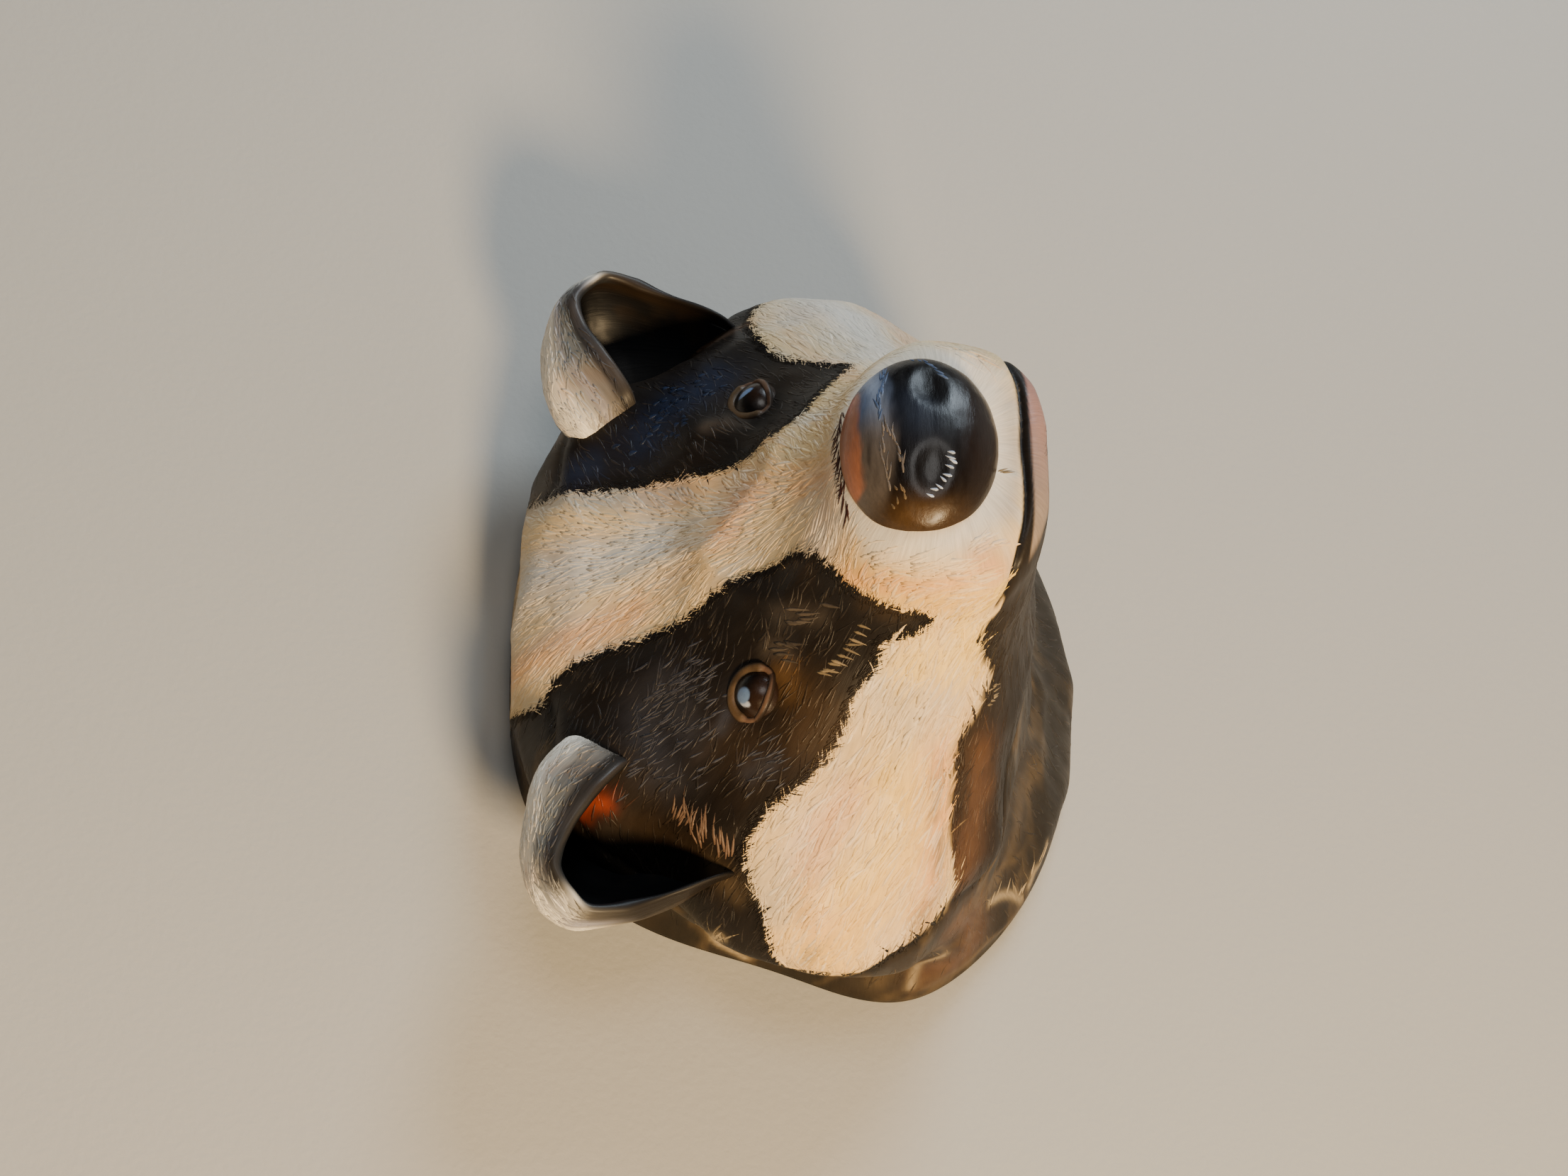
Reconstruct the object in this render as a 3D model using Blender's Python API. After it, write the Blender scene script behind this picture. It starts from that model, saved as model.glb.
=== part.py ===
"""Badger head wall sculpture: one hollow papier-mache head, made here as one solid with a flat back.

The wall is the plane y = 0, the face looks along -Y and the ears point along +Z. The origin is the
middle of the flat back. The head is lofted through stations that run from the wall to the muzzle's
front. The ears, eyes, lids and nose are built on it and joined to it, and the mouth is cut into it.
"""
import bmesh
import bpy
import numpy as np

# Driving sizes of the head, in metres
CHEEK_HALF_WIDTH = 0.113
CROWN_HEIGHT = 0.0925
THROAT_DROP = 0.0915
MUZZLE_REACH = 0.149

# Driving sizes of the features, in metres
EAR_WIDTH = 0.059
EAR_HEIGHT = 0.060
EAR_DEPTH = 0.040
EAR_THICKNESS = 0.0034
NOSE_HALF_WIDTH = 0.028
NOSE_HALF_HEIGHT = 0.0205
NOSE_LENGTH = 0.0140
NOSTRIL_RADIUS = 0.0042
EYE_RADIUS = 0.0080
LID_THICKNESS = 0.0019
MOUTH_GROOVE = 0.0013
MOUTH_CLEARANCE = 0.0030
WELD_DISTANCE = 0.00001

# How finely the faceted surfaces follow the form
ROWS_PER_STATION = 3
COLUMNS = 60
EAR_STEPS_ALONG = 21
EAR_STEPS_ACROSS = 4
NOSE_COLUMNS = 28
NOSE_ROWS = 14
EYE_SUBDIVISIONS = 3
NOSTRIL_SUBDIVISIONS = 2
LID_STEPS = 22
LID_SIDES = 6
MOUTH_STEPS = 20
MOUTH_HALVINGS = 24
SURFACE_STEP = 0.02

# The stations. Depth is a share of the muzzle's reach, half width a share of the cheek's, and the
# heights are shares of the crown's height (top) and of the throat's drop (widest line and bottom).
# The two powers shape the section above and below its widest line: 2 is an ellipse, more is squarer.
# Lean is how far the section's top tips back towards the wall for each unit of height.
STATION_VALUES = ("depth", "half", "widest", "top", "bottom", "up", "down", "lean")
STATIONS = {
    "wall": (0.000, 0.840, -0.273, 0.978, 1.000, 2.95, 2.00, 0.00),
    "collar": (0.094, 0.820, -0.219, 0.989, 0.940, 2.80, 2.00, 0.00),
    "nape": (0.188, 0.890, -0.109, 1.000, 0.787, 2.50, 2.00, 0.00),
    "jowl": (0.282, 0.990, -0.022, 0.919, 0.678, 2.25, 1.95, 0.00),
    "cheek": (0.376, 0.970, 0.000, 0.768, 0.639, 2.20, 1.95, 0.00),
    "brow": (0.483, 0.820, -0.022, 0.595, 0.579, 2.30, 2.00, 0.00),
    "eyes": (0.604, 0.620, -0.044, 0.454, 0.503, 2.40, 2.10, 0.02),
    "snout": (0.725, 0.456, -0.055, 0.351, 0.437, 2.30, 2.30, 0.06),
    "muzzle": (0.832, 0.376, -0.055, 0.292, 0.388, 2.20, 2.60, 0.12),
    "lips": (0.913, 0.354, -0.044, 0.276, 0.349, 2.10, 2.80, 0.20),
    "chin front": (0.960, 0.323, -0.033, 0.254, 0.318, 2.00, 2.70, 0.22),
    "upper lip": (0.987, 0.257, -0.022, 0.195, 0.256, 2.00, 2.50, 0.22),
    "nose bed": (0.997, 0.124, -0.011, 0.108, 0.142, 2.00, 2.00, 0.22),
    "muzzle front": (1.000, 0.009, 0.000, 0.009, 0.009, 2.00, 2.00, 0.22),
}
# How sharply a section goes over from its lower power to its upper one
POWER_CHANGE = 3.0

# The collar swells out near the wall, and the skull swells in front of each ear and is hollowed in it.
# Places are (x, y, z) as shares of the cheek's half width, the muzzle's reach and the crown's height.
COLLAR_SWELL = dict(height=-0.27, spread=0.22, fade=0.148, amount=0.071)
EAR_ROOT_SWELL = dict(place=(0.55, -0.309, 0.778), spread=(0.150, 0.101, 0.184), push=(0.040, -0.014, 0.047))
EAR_HOLLOW = dict(place=(0.788, -0.295, 0.627), spread=(0.097, 0.081, 0.162), push=(-0.073, 0.026, -0.065))
EYE_SOCKET = dict(place=(0.380, -0.604, 0.378), spread=(0.106, 0.101, 0.119), push=(-0.016, 0.012, -0.014))
BROW_RIDGE = dict(place=(0.345, -0.510, 0.540), spread=(0.130, 0.070, 0.100), push=(0.010, -0.010, 0.016))
CHEEK_HOLLOW = dict(place=(0.500, -0.760, -0.050), spread=(0.120, 0.090, 0.200), push=(-0.022, 0.014, 0.000))
LOWER_LIP = dict(place=(0.000, -0.995, -0.315), spread=(0.240, 0.050, 0.045), push=(0.000, -0.016, -0.002))

# Each ear is a hood. Its key lines run from the root inside the head, over the bulge of the back and
# the rim, to the lip that rolls forward. Offsets are from the ear's seat, as shares of the ear's
# width outwards, its depth forwards and its height upwards, from the low tip round to the inner end,
# which goes on deep into the head. The last value says how strongly the rim rolls on into the lip.
EAR_SEAT = dict(station=2.92, angle=36.5)
EAR_KEYS = {
    "sunk tip": ((0.09, 0.25, -0.47), (0.15, 0.33, -0.48), (0.19, 0.42, -0.45), (0.20, 0.50, -0.42), 0.10),
    "low tip": ((0.07, 0.20, -0.37), (0.19, 0.30, -0.36), (0.26, 0.48, -0.30), (0.28, 0.58, -0.27), 0.10),
    "lower edge": ((0.05, -0.05, -0.20), (0.31, 0.00, -0.15), (0.40, 0.34, -0.03), (0.40, 0.50, 0.00), 0.15),
    "outer edge": ((0.02, -0.28, -0.03), (0.40, -0.15, 0.11), (0.49, 0.27, 0.26), (0.48, 0.50, 0.29), 0.22),
    "outer top": ((-0.05, -0.40, 0.07), (0.38, -0.25, 0.36), (0.46, 0.20, 0.43), (0.40, 0.52, 0.42), 0.32),
    "top": ((-0.15, -0.43, 0.15), (0.26, -0.30, 0.54), (0.29, 0.17, 0.56), (0.26, 0.54, 0.50), 0.45),
    "crest": ((-0.27, -0.35, 0.22), (0.05, -0.25, 0.59), (0.02, 0.20, 0.60), (0.09, 0.56, 0.45), 0.52),
    "inner top": ((-0.40, -0.20, 0.28), (-0.22, -0.13, 0.55), (-0.25, 0.24, 0.56), (-0.08, 0.62, 0.35), 0.52),
    "inner end": ((-0.53, 0.00, 0.28), (-0.41, 0.06, 0.46), (-0.43, 0.31, 0.45), (-0.27, 0.57, 0.20), 0.50),
    "sunk end": ((-0.57, 0.08, 0.20), (-0.51, 0.12, 0.34), (-0.50, 0.25, 0.33), (-0.38, 0.38, 0.10), 0.45),
    "deep end": ((-0.58, 0.12, 0.02), (-0.56, 0.14, 0.12), (-0.54, 0.20, 0.11), (-0.46, 0.26, -0.06), 0.40),
}
# The ear's wall thins to this share of its thickness at the hood's two ends
EAR_END_WALL = 0.40

# Eyes: where they sit on the head, how deep the ball is sunk, which way the slit runs down to the
# nose, and the almond of the lids as shares of the eye's radius
EYE_SEAT = dict(station=5.80, angle=38.1)
EYE_SINK = 0.50
EYE_SLIT = (-0.81, -0.56, -0.16)
LID_HALF_LENGTH = 0.95
LID_UPPER_RISE = 0.88
LID_LOWER_DROP = 0.62
LID_REST = 0.95

# Nose: its seat on the muzzle's front, and the nostrils as shares of its own half sizes
NOSE_SEAT_DEPTH = 0.966
NOSE_SEAT_HEIGHT = 0.049
NOSE_LEAN = 0.24
NOSE_SUNK_LENGTH = 0.75
NOSTRIL_PLACE = (0.46, 0.88, 0.02)
NOSTRIL_STRETCH = 1.5

# Mouth: height of its line, how far round the muzzle it runs on each side of the middle, the share
# of the groove left at its corners, the share of its width left at its floor, and the station behind
# which it isn't looked for
MOUTH_HEIGHT = -0.258
MOUTH_HALF_TURN = 62.0
MOUTH_CORNER = 0.45
MOUTH_FLOOR = 0.5
MOUTH_BACK_STATION = 8.0

# Paint
FUR_COLOUR = (0.10, 0.08, 0.07, 1.0)
FUR_ROUGHNESS = 0.55


def smooth_line(values, place):
    """Reads a smooth curve through evenly spaced values at any places along it."""
    values = np.asarray(values, dtype=float)
    slopes = np.gradient(values, axis=0)
    first = np.clip(np.floor(place).astype(int), 0, len(values) - 2)
    t = place - first
    if values.ndim > 1:
        t = t[..., None]
    start = values[first]
    end = values[first + 1]
    ease = t * t * (3.0 - 2.0 * t)
    leave = t * (1.0 - t) ** 2 * slopes[first]
    arrive = t * t * (1.0 - t) * slopes[first + 1]
    return start + (end - start) * ease + leave - arrive


def head_scale():
    """Turns shares of the head's three driving sizes into metres."""
    return np.array((CHEEK_HALF_WIDTH, MUZZLE_REACH, CROWN_HEIGHT))


def swell(points, form, side):
    """Moves points near a place by a push that fades with distance like a bell."""
    mirror = np.array((side, 1.0, 1.0))
    place = np.array(form["place"]) * mirror * head_scale()
    away = (points - place) / (np.array(form["spread"]) * head_scale())
    strength = np.exp(-0.5 * np.sum(away * away, axis=-1))
    return points + strength[..., None] * np.array(form["push"]) * mirror * head_scale()


def head_surface(station, angle):
    """Points on the head: station runs from the wall to the muzzle's front, and angle round it."""
    station, angle = np.broadcast_arrays(np.asarray(station, dtype=float), np.asarray(angle, dtype=float))
    rows = smooth_line(list(STATIONS.values()), station)
    along = dict(zip(STATION_VALUES, np.moveaxis(rows, -1, 0)))
    depth = along["depth"] * MUZZLE_REACH
    half = along["half"] * CHEEK_HALF_WIDTH
    widest = along["widest"] * THROAT_DROP
    top = along["top"] * CROWN_HEIGHT
    bottom = -along["bottom"] * THROAT_DROP
    cosine = np.cos(angle)
    sine = np.sin(angle)
    reach = np.where(sine >= 0.0, top - widest, widest - bottom)
    upper = 0.5 + 0.5 * np.tanh(POWER_CHANGE * sine)
    power = along["down"] + (along["up"] - along["down"]) * upper
    radius = (np.abs(cosine / half) ** power + np.abs(sine / reach) ** power) ** (-1.0 / power)
    rise = radius * sine

    height = COLLAR_SWELL["height"] * THROAT_DROP
    band = np.exp(-0.5 * ((widest + rise - height) / (COLLAR_SWELL["spread"] * THROAT_DROP)) ** 2)
    fade = np.exp(-(depth / (COLLAR_SWELL["fade"] * MUZZLE_REACH)) ** 2)
    swelling = COLLAR_SWELL["amount"] * CHEEK_HALF_WIDTH * band * fade
    x = radius * cosine + np.sign(cosine) * np.sqrt(np.abs(cosine)) * swelling
    points = np.stack((x, -depth + along["lean"] * rise, widest + rise), axis=-1)

    at_wall = (station <= 0.0)[..., None]
    formed = points
    for side in (-1.0, 1.0):
        for form in (EAR_ROOT_SWELL, EAR_HOLLOW, EYE_SOCKET, BROW_RIDGE, CHEEK_HOLLOW):
            formed = swell(formed, form, side)
    formed = swell(formed, LOWER_LIP, 1.0)
    return np.where(at_wall, points, formed)


def surface_frame(seat, side):
    """Point and outward normal of the head's surface at a seat on its left (-1) or right (1) side."""
    angle = np.radians(seat["angle"])
    if side < 0:
        angle = np.pi - angle
    station = seat["station"]
    here = head_surface(station, angle)
    along = head_surface(station + SURFACE_STEP, angle) - head_surface(station - SURFACE_STEP, angle)
    around = head_surface(station, angle + SURFACE_STEP) - head_surface(station, angle - SURFACE_STEP)
    normal = np.cross(around, along)
    normal /= np.linalg.norm(normal)
    return here, normal


def new_object(name, bm, material):
    """Makes an object from closed mesh work with its faces turned outwards."""
    bmesh.ops.recalc_face_normals(bm, faces=bm.faces)
    mesh = bpy.data.meshes.new(name)
    bm.to_mesh(mesh)
    bm.free()
    mesh.materials.append(material)
    mesh.shade_smooth()
    made = bpy.data.objects.new(name, mesh)
    bpy.context.scene.collection.objects.link(made)
    return made


def skin_rings(bm, rings):
    """Lays quads between neighbouring rings of points and returns the rings' vertices."""
    rows = [[bm.verts.new(point) for point in ring] for ring in rings]
    count = len(rows[0])
    for lower, upper in zip(rows, rows[1:]):
        for k in range(count):
            n = (k + 1) % count
            bm.faces.new((lower[k], lower[n], upper[n], upper[k]))
    return rows


def build_head(material):
    """Lofts the head from the wall to the muzzle's front, closed by a flat back and a small front cap."""
    steps = (len(STATIONS) - 1) * ROWS_PER_STATION
    station = np.linspace(0.0, len(STATIONS) - 1.0, steps + 1)
    angle = np.linspace(0.0, 2.0 * np.pi, COLUMNS, endpoint=False)
    rings = head_surface(station[:, None], angle[None, :])
    bm = bmesh.new()
    rows = skin_rings(bm, rings)
    bm.faces.new(rows[0])
    bm.faces.new(rows[-1])
    return new_object("badger_head", bm, material)


def build_ear(name, side, material):
    """Makes one hooded ear as a closed shell, its root and its two ends buried in the head."""
    seat, _ = surface_frame(EAR_SEAT, side)
    size = np.array((side * EAR_WIDTH, -EAR_DEPTH, EAR_HEIGHT))
    place = np.linspace(0.0, len(EAR_KEYS) - 1.0, EAR_STEPS_ALONG)
    lines = [smooth_line([key[line] for key in EAR_KEYS.values()], place) for line in range(4)]
    root, bulge, rim, lip = (line * size for line in lines)
    carry = smooth_line([key[4] for key in EAR_KEYS.values()], place)[:, None]
    roll = rim + carry * (rim - bulge)
    t = np.linspace(0.0, 1.0, EAR_STEPS_ACROSS + 1)[:, None, None]
    back = (1 - t) ** 2 * root + 2 * t * (1 - t) * bulge + t ** 2 * rim
    front = (1 - t) ** 2 * rim + 2 * t * (1 - t) * roll + t ** 2 * lip
    outer = seat + np.concatenate((back, front[1:]))
    normal = np.cross(np.gradient(outer, axis=1), np.gradient(outer, axis=0)) * side
    normal /= np.linalg.norm(normal, axis=-1, keepdims=True)
    wall = EAR_THICKNESS * (EAR_END_WALL + (1.0 - EAR_END_WALL) * np.sin(np.pi * place / place[-1]))
    inner = outer - wall[:, None] * normal

    # Each ring goes up the outer face and back down the inner one
    rings = [np.concatenate((outer[:, k], inner[::-1, k])) for k in range(EAR_STEPS_ALONG)]
    bm = bmesh.new()
    rows = skin_rings(bm, rings)
    across = outer.shape[0]
    for row in (rows[0], rows[-1]):
        for k in range(across - 1):
            bm.faces.new((row[k], row[k + 1], row[-2 - k], row[-1 - k]))
    return new_object(name, bm, material)


def nose_centre():
    """Middle of the nose ball, on the muzzle's front."""
    return np.array((0.0, -NOSE_SEAT_DEPTH * MUZZLE_REACH, NOSE_SEAT_HEIGHT * CROWN_HEIGHT))


def build_nose(material):
    """Makes the nose ball: an egg that leans with the muzzle's front and is sunk into it."""
    bm = bmesh.new()
    bmesh.ops.create_uvsphere(bm, u_segments=NOSE_COLUMNS, v_segments=NOSE_ROWS, radius=1.0)
    for vert in bm.verts:
        x, y, z = vert.co
        length = NOSE_LENGTH if z >= 0.0 else NOSE_LENGTH * NOSE_SUNK_LENGTH
        across = NOSE_HALF_WIDTH * x
        up = NOSE_HALF_HEIGHT * y
        vert.co = nose_centre() + np.array((across, NOSE_LEAN * up - length * z, up))
    return new_object("nose_form", bm, material)


def build_nostril(name, side, material):
    """Makes the small egg that hollows one nostril."""
    across, forward, up = NOSTRIL_PLACE
    height = up * NOSE_HALF_HEIGHT
    offset = (side * across * NOSE_HALF_WIDTH, NOSE_LEAN * height - forward * NOSE_LENGTH, height)
    bm = bmesh.new()
    bmesh.ops.create_icosphere(bm, subdivisions=NOSTRIL_SUBDIVISIONS, radius=NOSTRIL_RADIUS)
    for vert in bm.verts:
        vert.co.x *= NOSTRIL_STRETCH
    bmesh.ops.translate(bm, verts=bm.verts, vec=nose_centre() + np.array(offset))
    return new_object(name, bm, material)


def eye_frame(side):
    """Centre of the eyeball with the directions outwards, along the slit and up across it."""
    seat, outward = surface_frame(EYE_SEAT, side)
    slit = np.array((side * EYE_SLIT[0], EYE_SLIT[1], EYE_SLIT[2]))
    slit -= outward * np.dot(slit, outward)
    slit /= np.linalg.norm(slit)
    rise = np.cross(outward, slit)
    rise *= np.sign(rise[2])
    return seat - outward * EYE_SINK * EYE_RADIUS, outward, slit, rise


def build_eyeball(name, side, material):
    """Makes one eyeball, mostly sunk in its socket."""
    centre, _, _, _ = eye_frame(side)
    bm = bmesh.new()
    bmesh.ops.create_icosphere(bm, subdivisions=EYE_SUBDIVISIONS, radius=EYE_RADIUS)
    bmesh.ops.translate(bm, verts=bm.verts, vec=centre)
    return new_object(name, bm, material)


def build_lids(name, side, material):
    """Makes the raised almond of the lids: a round bead that lies on the eyeball."""
    centre, outward, slit, rise = eye_frame(side)
    bead = np.linspace(0.0, 2.0 * np.pi, LID_SIDES, endpoint=False)
    rings = []
    for turn in np.linspace(0.0, 2.0 * np.pi, LID_STEPS, endpoint=False):
        height = LID_UPPER_RISE if np.sin(turn) > 0.0 else LID_LOWER_DROP
        across = LID_HALF_LENGTH * EYE_RADIUS * np.cos(turn) * slit
        across = across + height * EYE_RADIUS * np.sin(turn) * rise
        reach = np.linalg.norm(across)
        # The bead follows the eyeball, and leaves it for the socket's edge past its rim
        stand = EYE_RADIUS * max(EYE_SINK * LID_REST, np.sqrt(max(0.0, 1.0 - (reach / EYE_RADIUS) ** 2)))
        middle = centre + across + outward * stand
        away = across / reach
        rings.append([middle + LID_THICKNESS * (np.cos(a) * away + np.sin(a) * outward) for a in bead])
    bm = bmesh.new()
    skin_rings(bm, rings + rings[:1])
    bmesh.ops.remove_doubles(bm, verts=bm.verts, dist=WELD_DISTANCE)
    return new_object(name, bm, material)


def mouth_seats():
    """Places of the mouth's line on the head's two sides, where a level plane meets the muzzle's front."""
    height = MOUTH_HEIGHT * CROWN_HEIGHT
    seats = []
    for turn in np.linspace(-MOUTH_HALF_TURN, MOUTH_HALF_TURN, MOUTH_STEPS + 1):
        low = MOUTH_BACK_STATION
        high = len(STATIONS) - 1.0
        angle = abs(turn) - 90.0
        for _ in range(MOUTH_HALVINGS):
            middle = 0.5 * (low + high)
            if head_surface(middle, np.radians(angle))[2] < height:
                low = middle
            else:
                high = middle
        seats.append((dict(station=low, angle=angle), np.copysign(1.0, turn)))
    return seats


def build_mouth_cut(material):
    """Makes the wedge that cuts the mouth's groove: open at the skin all along, thinner to its corners."""
    frames = [surface_frame(seat, side) for seat, side in mouth_seats()]
    steps = np.gradient(np.array([place for place, _ in frames]), axis=0)
    swings = np.abs(np.linspace(-1.0, 1.0, len(frames)))
    rings = []
    for (place, outward), step, swing in zip(frames, steps, swings):
        groove = MOUTH_GROOVE * (1.0 - (1.0 - MOUTH_CORNER) * swing ** 3)
        across = np.cross(step, outward)
        across *= groove / np.linalg.norm(across)
        top = place + outward * MOUTH_CLEARANCE
        floor = place - outward * groove
        rings.append((top + across, top - across, floor - across * MOUTH_FLOOR, floor + across * MOUTH_FLOOR))
    bm = bmesh.new()
    rows = skin_rings(bm, rings)
    bm.faces.new(rows[0])
    bm.faces.new(rows[-1])
    return new_object("mouth_cut", bm, material)


def work_into(head, form, operation, folded=False):
    """Joins a form to the head or cuts it out, and keeps the form as a hidden guide."""
    step = head.modifiers.new(form.name, "BOOLEAN")
    step.operation = operation
    step.solver = "EXACT"
    step.use_self = folded
    step.object = form
    form.hide_render = True
    form.display_type = "WIRE"


def paint():
    """One material stands for the varnished fur paint."""
    made = bpy.data.materials.new("painted_papier_mache")
    made.use_nodes = True
    shader = made.node_tree.nodes["Principled BSDF"]
    shader.inputs["Base Color"].default_value = FUR_COLOUR
    shader.inputs["Roughness"].default_value = FUR_ROUGHNESS
    return made


def main():
    for old in list(bpy.data.objects):
        bpy.data.objects.remove(old, do_unlink=True)
    material = paint()
    head = build_head(material)
    sides = (("left", -1.0), ("right", 1.0))
    for name, side in sides:
        work_into(head, build_ear("ear_form_" + name, side, material), "UNION", folded=True)
    for name, side in sides:
        work_into(head, build_eyeball("eye_form_" + name, side, material), "UNION")
        work_into(head, build_lids("lid_form_" + name, side, material), "UNION")
    work_into(head, build_nose(material), "UNION")
    for name, side in sides:
        work_into(head, build_nostril("nostril_cut_" + name, side, material), "DIFFERENCE")
    work_into(head, build_mouth_cut(material), "DIFFERENCE")


main()
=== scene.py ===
import bpy
import numpy as np
from numpy.linalg import norm
from mathutils import Matrix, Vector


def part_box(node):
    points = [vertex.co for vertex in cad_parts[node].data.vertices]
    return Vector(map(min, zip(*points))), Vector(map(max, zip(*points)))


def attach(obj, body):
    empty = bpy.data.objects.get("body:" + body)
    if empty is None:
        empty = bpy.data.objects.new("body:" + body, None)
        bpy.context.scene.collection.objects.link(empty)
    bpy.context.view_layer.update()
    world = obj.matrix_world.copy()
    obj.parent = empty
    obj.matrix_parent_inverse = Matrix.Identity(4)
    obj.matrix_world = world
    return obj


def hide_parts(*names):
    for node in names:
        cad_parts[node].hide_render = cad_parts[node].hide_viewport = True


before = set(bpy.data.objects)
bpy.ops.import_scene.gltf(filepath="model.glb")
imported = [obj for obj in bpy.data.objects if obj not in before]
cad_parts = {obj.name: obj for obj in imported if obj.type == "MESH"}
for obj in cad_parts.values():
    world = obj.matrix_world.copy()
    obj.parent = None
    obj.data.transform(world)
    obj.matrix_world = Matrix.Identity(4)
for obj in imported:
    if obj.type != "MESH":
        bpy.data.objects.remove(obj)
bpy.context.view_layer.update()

cadLow, cadHigh = (np.array(corner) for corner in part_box("badger_head"))

# The head's four driving sizes, worked out from the solid's box; the nose and ears stand a little past them
headSpan = dict(
    half=cadHigh[0] / 0.99744,
    reach=-cadLow[1] / 1.06498,
    crown=cadHigh[2] / 1.00317,
    throat=-cadLow[2],
)
headScale = np.array((headSpan["half"], headSpan["reach"], headSpan["crown"]))

# Stations from the wall to the muzzle's front, as shares of those sizes: depth, half width, height of the
# widest line, top, bottom, power of the section above and below that line, and how far the top leans back
stations = dict(
    wall=(0, 0.84, -0.273, 0.978, 1, 2.95, 2, 0),
    collar=(0.094, 0.82, -0.219, 0.989, 0.94, 2.8, 2, 0),
    nape=(0.188, 0.89, -0.109, 1, 0.787, 2.5, 2, 0),
    jowl=(0.282, 0.99, -0.022, 0.919, 0.678, 2.25, 1.95, 0),
    cheek=(0.376, 0.97, 0, 0.768, 0.639, 2.2, 1.95, 0),
    brow=(0.483, 0.82, -0.022, 0.595, 0.579, 2.3, 2, 0),
    eyes=(0.604, 0.62, -0.044, 0.454, 0.503, 2.4, 2.1, 0.02),
    snout=(0.725, 0.456, -0.055, 0.351, 0.437, 2.3, 2.3, 0.06),
    muzzle=(0.832, 0.376, -0.055, 0.292, 0.388, 2.2, 2.6, 0.12),
    lips=(0.913, 0.354, -0.044, 0.276, 0.349, 2.1, 2.8, 0.2),
    chinFront=(0.96, 0.323, -0.033, 0.254, 0.318, 2, 2.7, 0.22),
    upperLip=(0.987, 0.257, -0.022, 0.195, 0.256, 2, 2.5, 0.22),
    noseBed=(0.997, 0.124, -0.011, 0.108, 0.142, 2, 2, 0.22),
    muzzleFront=(1, 0.009, 0, 0.009, 0.009, 2, 2, 0.22),
)
lastStation = len(stations) - 1
collarSwell = dict(height=-0.27, spread=0.22, fade=0.148, amount=0.071)
# Swellings and hollows on both sides: place, spread and push as shares of headScale
sideForms = dict(
    earRoot=((0.55, -0.309, 0.778), (0.15, 0.101, 0.184), (0.04, -0.014, 0.047)),
    earHollow=((0.788, -0.295, 0.627), (0.097, 0.081, 0.162), (-0.073, 0.026, -0.065)),
    eyeSocket=((0.38, -0.604, 0.378), (0.106, 0.101, 0.119), (-0.016, 0.012, -0.014)),
    browRidge=((0.345, -0.51, 0.54), (0.13, 0.07, 0.1), (0.01, -0.01, 0.016)),
    cheekHollow=((0.5, -0.76, -0.05), (0.12, 0.09, 0.2), (-0.022, 0.014, 0)),
)
lowerLip = ((0, -0.995, -0.315), (0.24, 0.05, 0.045), (0, -0.016, -0.002))


def smoothLine(values, place):
    # a Hermite curve through evenly spaced values, its slopes taken from the neighbours
    values = np.asarray(values, float)
    slopes = np.gradient(values, axis=0)
    first = np.clip(np.floor(place).astype(int), 0, len(values) - 2)
    t = place - first
    if values.ndim > 1:
        t = t[..., None]
    ease = t * t * (3 - 2 * t)
    leave = t * (1 - t) ** 2 * slopes[first]
    arrive = t * t * (1 - t) * slopes[first + 1]
    return values[first] + (values[first + 1] - values[first]) * ease + leave - arrive


def swell(points, form, side):
    # a push that fades like a bell with the distance from its place
    place, spread, push = (np.array(part) for part in form)
    mirror = np.array((side, 1.0, 1.0))
    away = (points - place * mirror * headScale) / (spread * headScale)
    strength = np.exp(-0.5 * np.sum(away * away, axis=-1))
    return points + strength[..., None] * push * mirror * headScale


def headSurface(station, turn):
    # superellipse sections, one power below the widest line and one above; turn is degrees from the top
    # towards the viewer's right, and the swellings are added to the lofted form
    station, turn = np.broadcast_arrays(np.asarray(station, float), np.asarray(turn, float))
    rows = smoothLine(list(stations.values()), station)
    depth, half, widest, top, bottom, up, down, lean = np.moveaxis(rows, -1, 0)
    depth = depth * headSpan["reach"]
    half = half * headSpan["half"]
    widest = widest * headSpan["throat"]
    top = top * headSpan["crown"]
    bottom = -bottom * headSpan["throat"]
    angle = np.radians(90.0 - turn)
    cosine, sine = np.cos(angle), np.sin(angle)
    reach = np.where(sine >= 0, top - widest, widest - bottom)
    power = down + (up - down) * (0.5 + 0.5 * np.tanh(3.0 * sine))
    radius = (np.abs(cosine / half) ** power + np.abs(sine / reach) ** power) ** (-1 / power)
    rise = radius * sine
    height = collarSwell["height"] * headSpan["throat"]
    band = np.exp(-0.5 * ((widest + rise - height) / (collarSwell["spread"] * headSpan["throat"])) ** 2)
    fade = np.exp(-(depth / (collarSwell["fade"] * headSpan["reach"])) ** 2)
    swelling = collarSwell["amount"] * headSpan["half"] * band * fade
    x = radius * cosine + np.sign(cosine) * np.sqrt(np.abs(cosine)) * swelling
    plain = np.stack((x, -depth + lean * rise, widest + rise), axis=-1)
    formed = plain
    for side in (-1.0, 1.0):
        for form in sideForms.values():
            formed = swell(formed, form, side)
    formed = swell(formed, lowerLip, 1.0)
    return np.where((station <= 0.0)[..., None], plain, formed)


def scramble(cell, seed):
    # one repeatable whole number for each lattice cell
    x, y, z = np.moveaxis(cell, -1, 0)
    mixed = (x * 73856093) ^ (y * 19349663) ^ (z * 83492791) ^ (seed * 2654435)
    mixed = ((mixed ^ (mixed >> 13)) * 1274126177) & 0x7FFFFFFF
    return mixed ^ (mixed >> 15)


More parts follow.
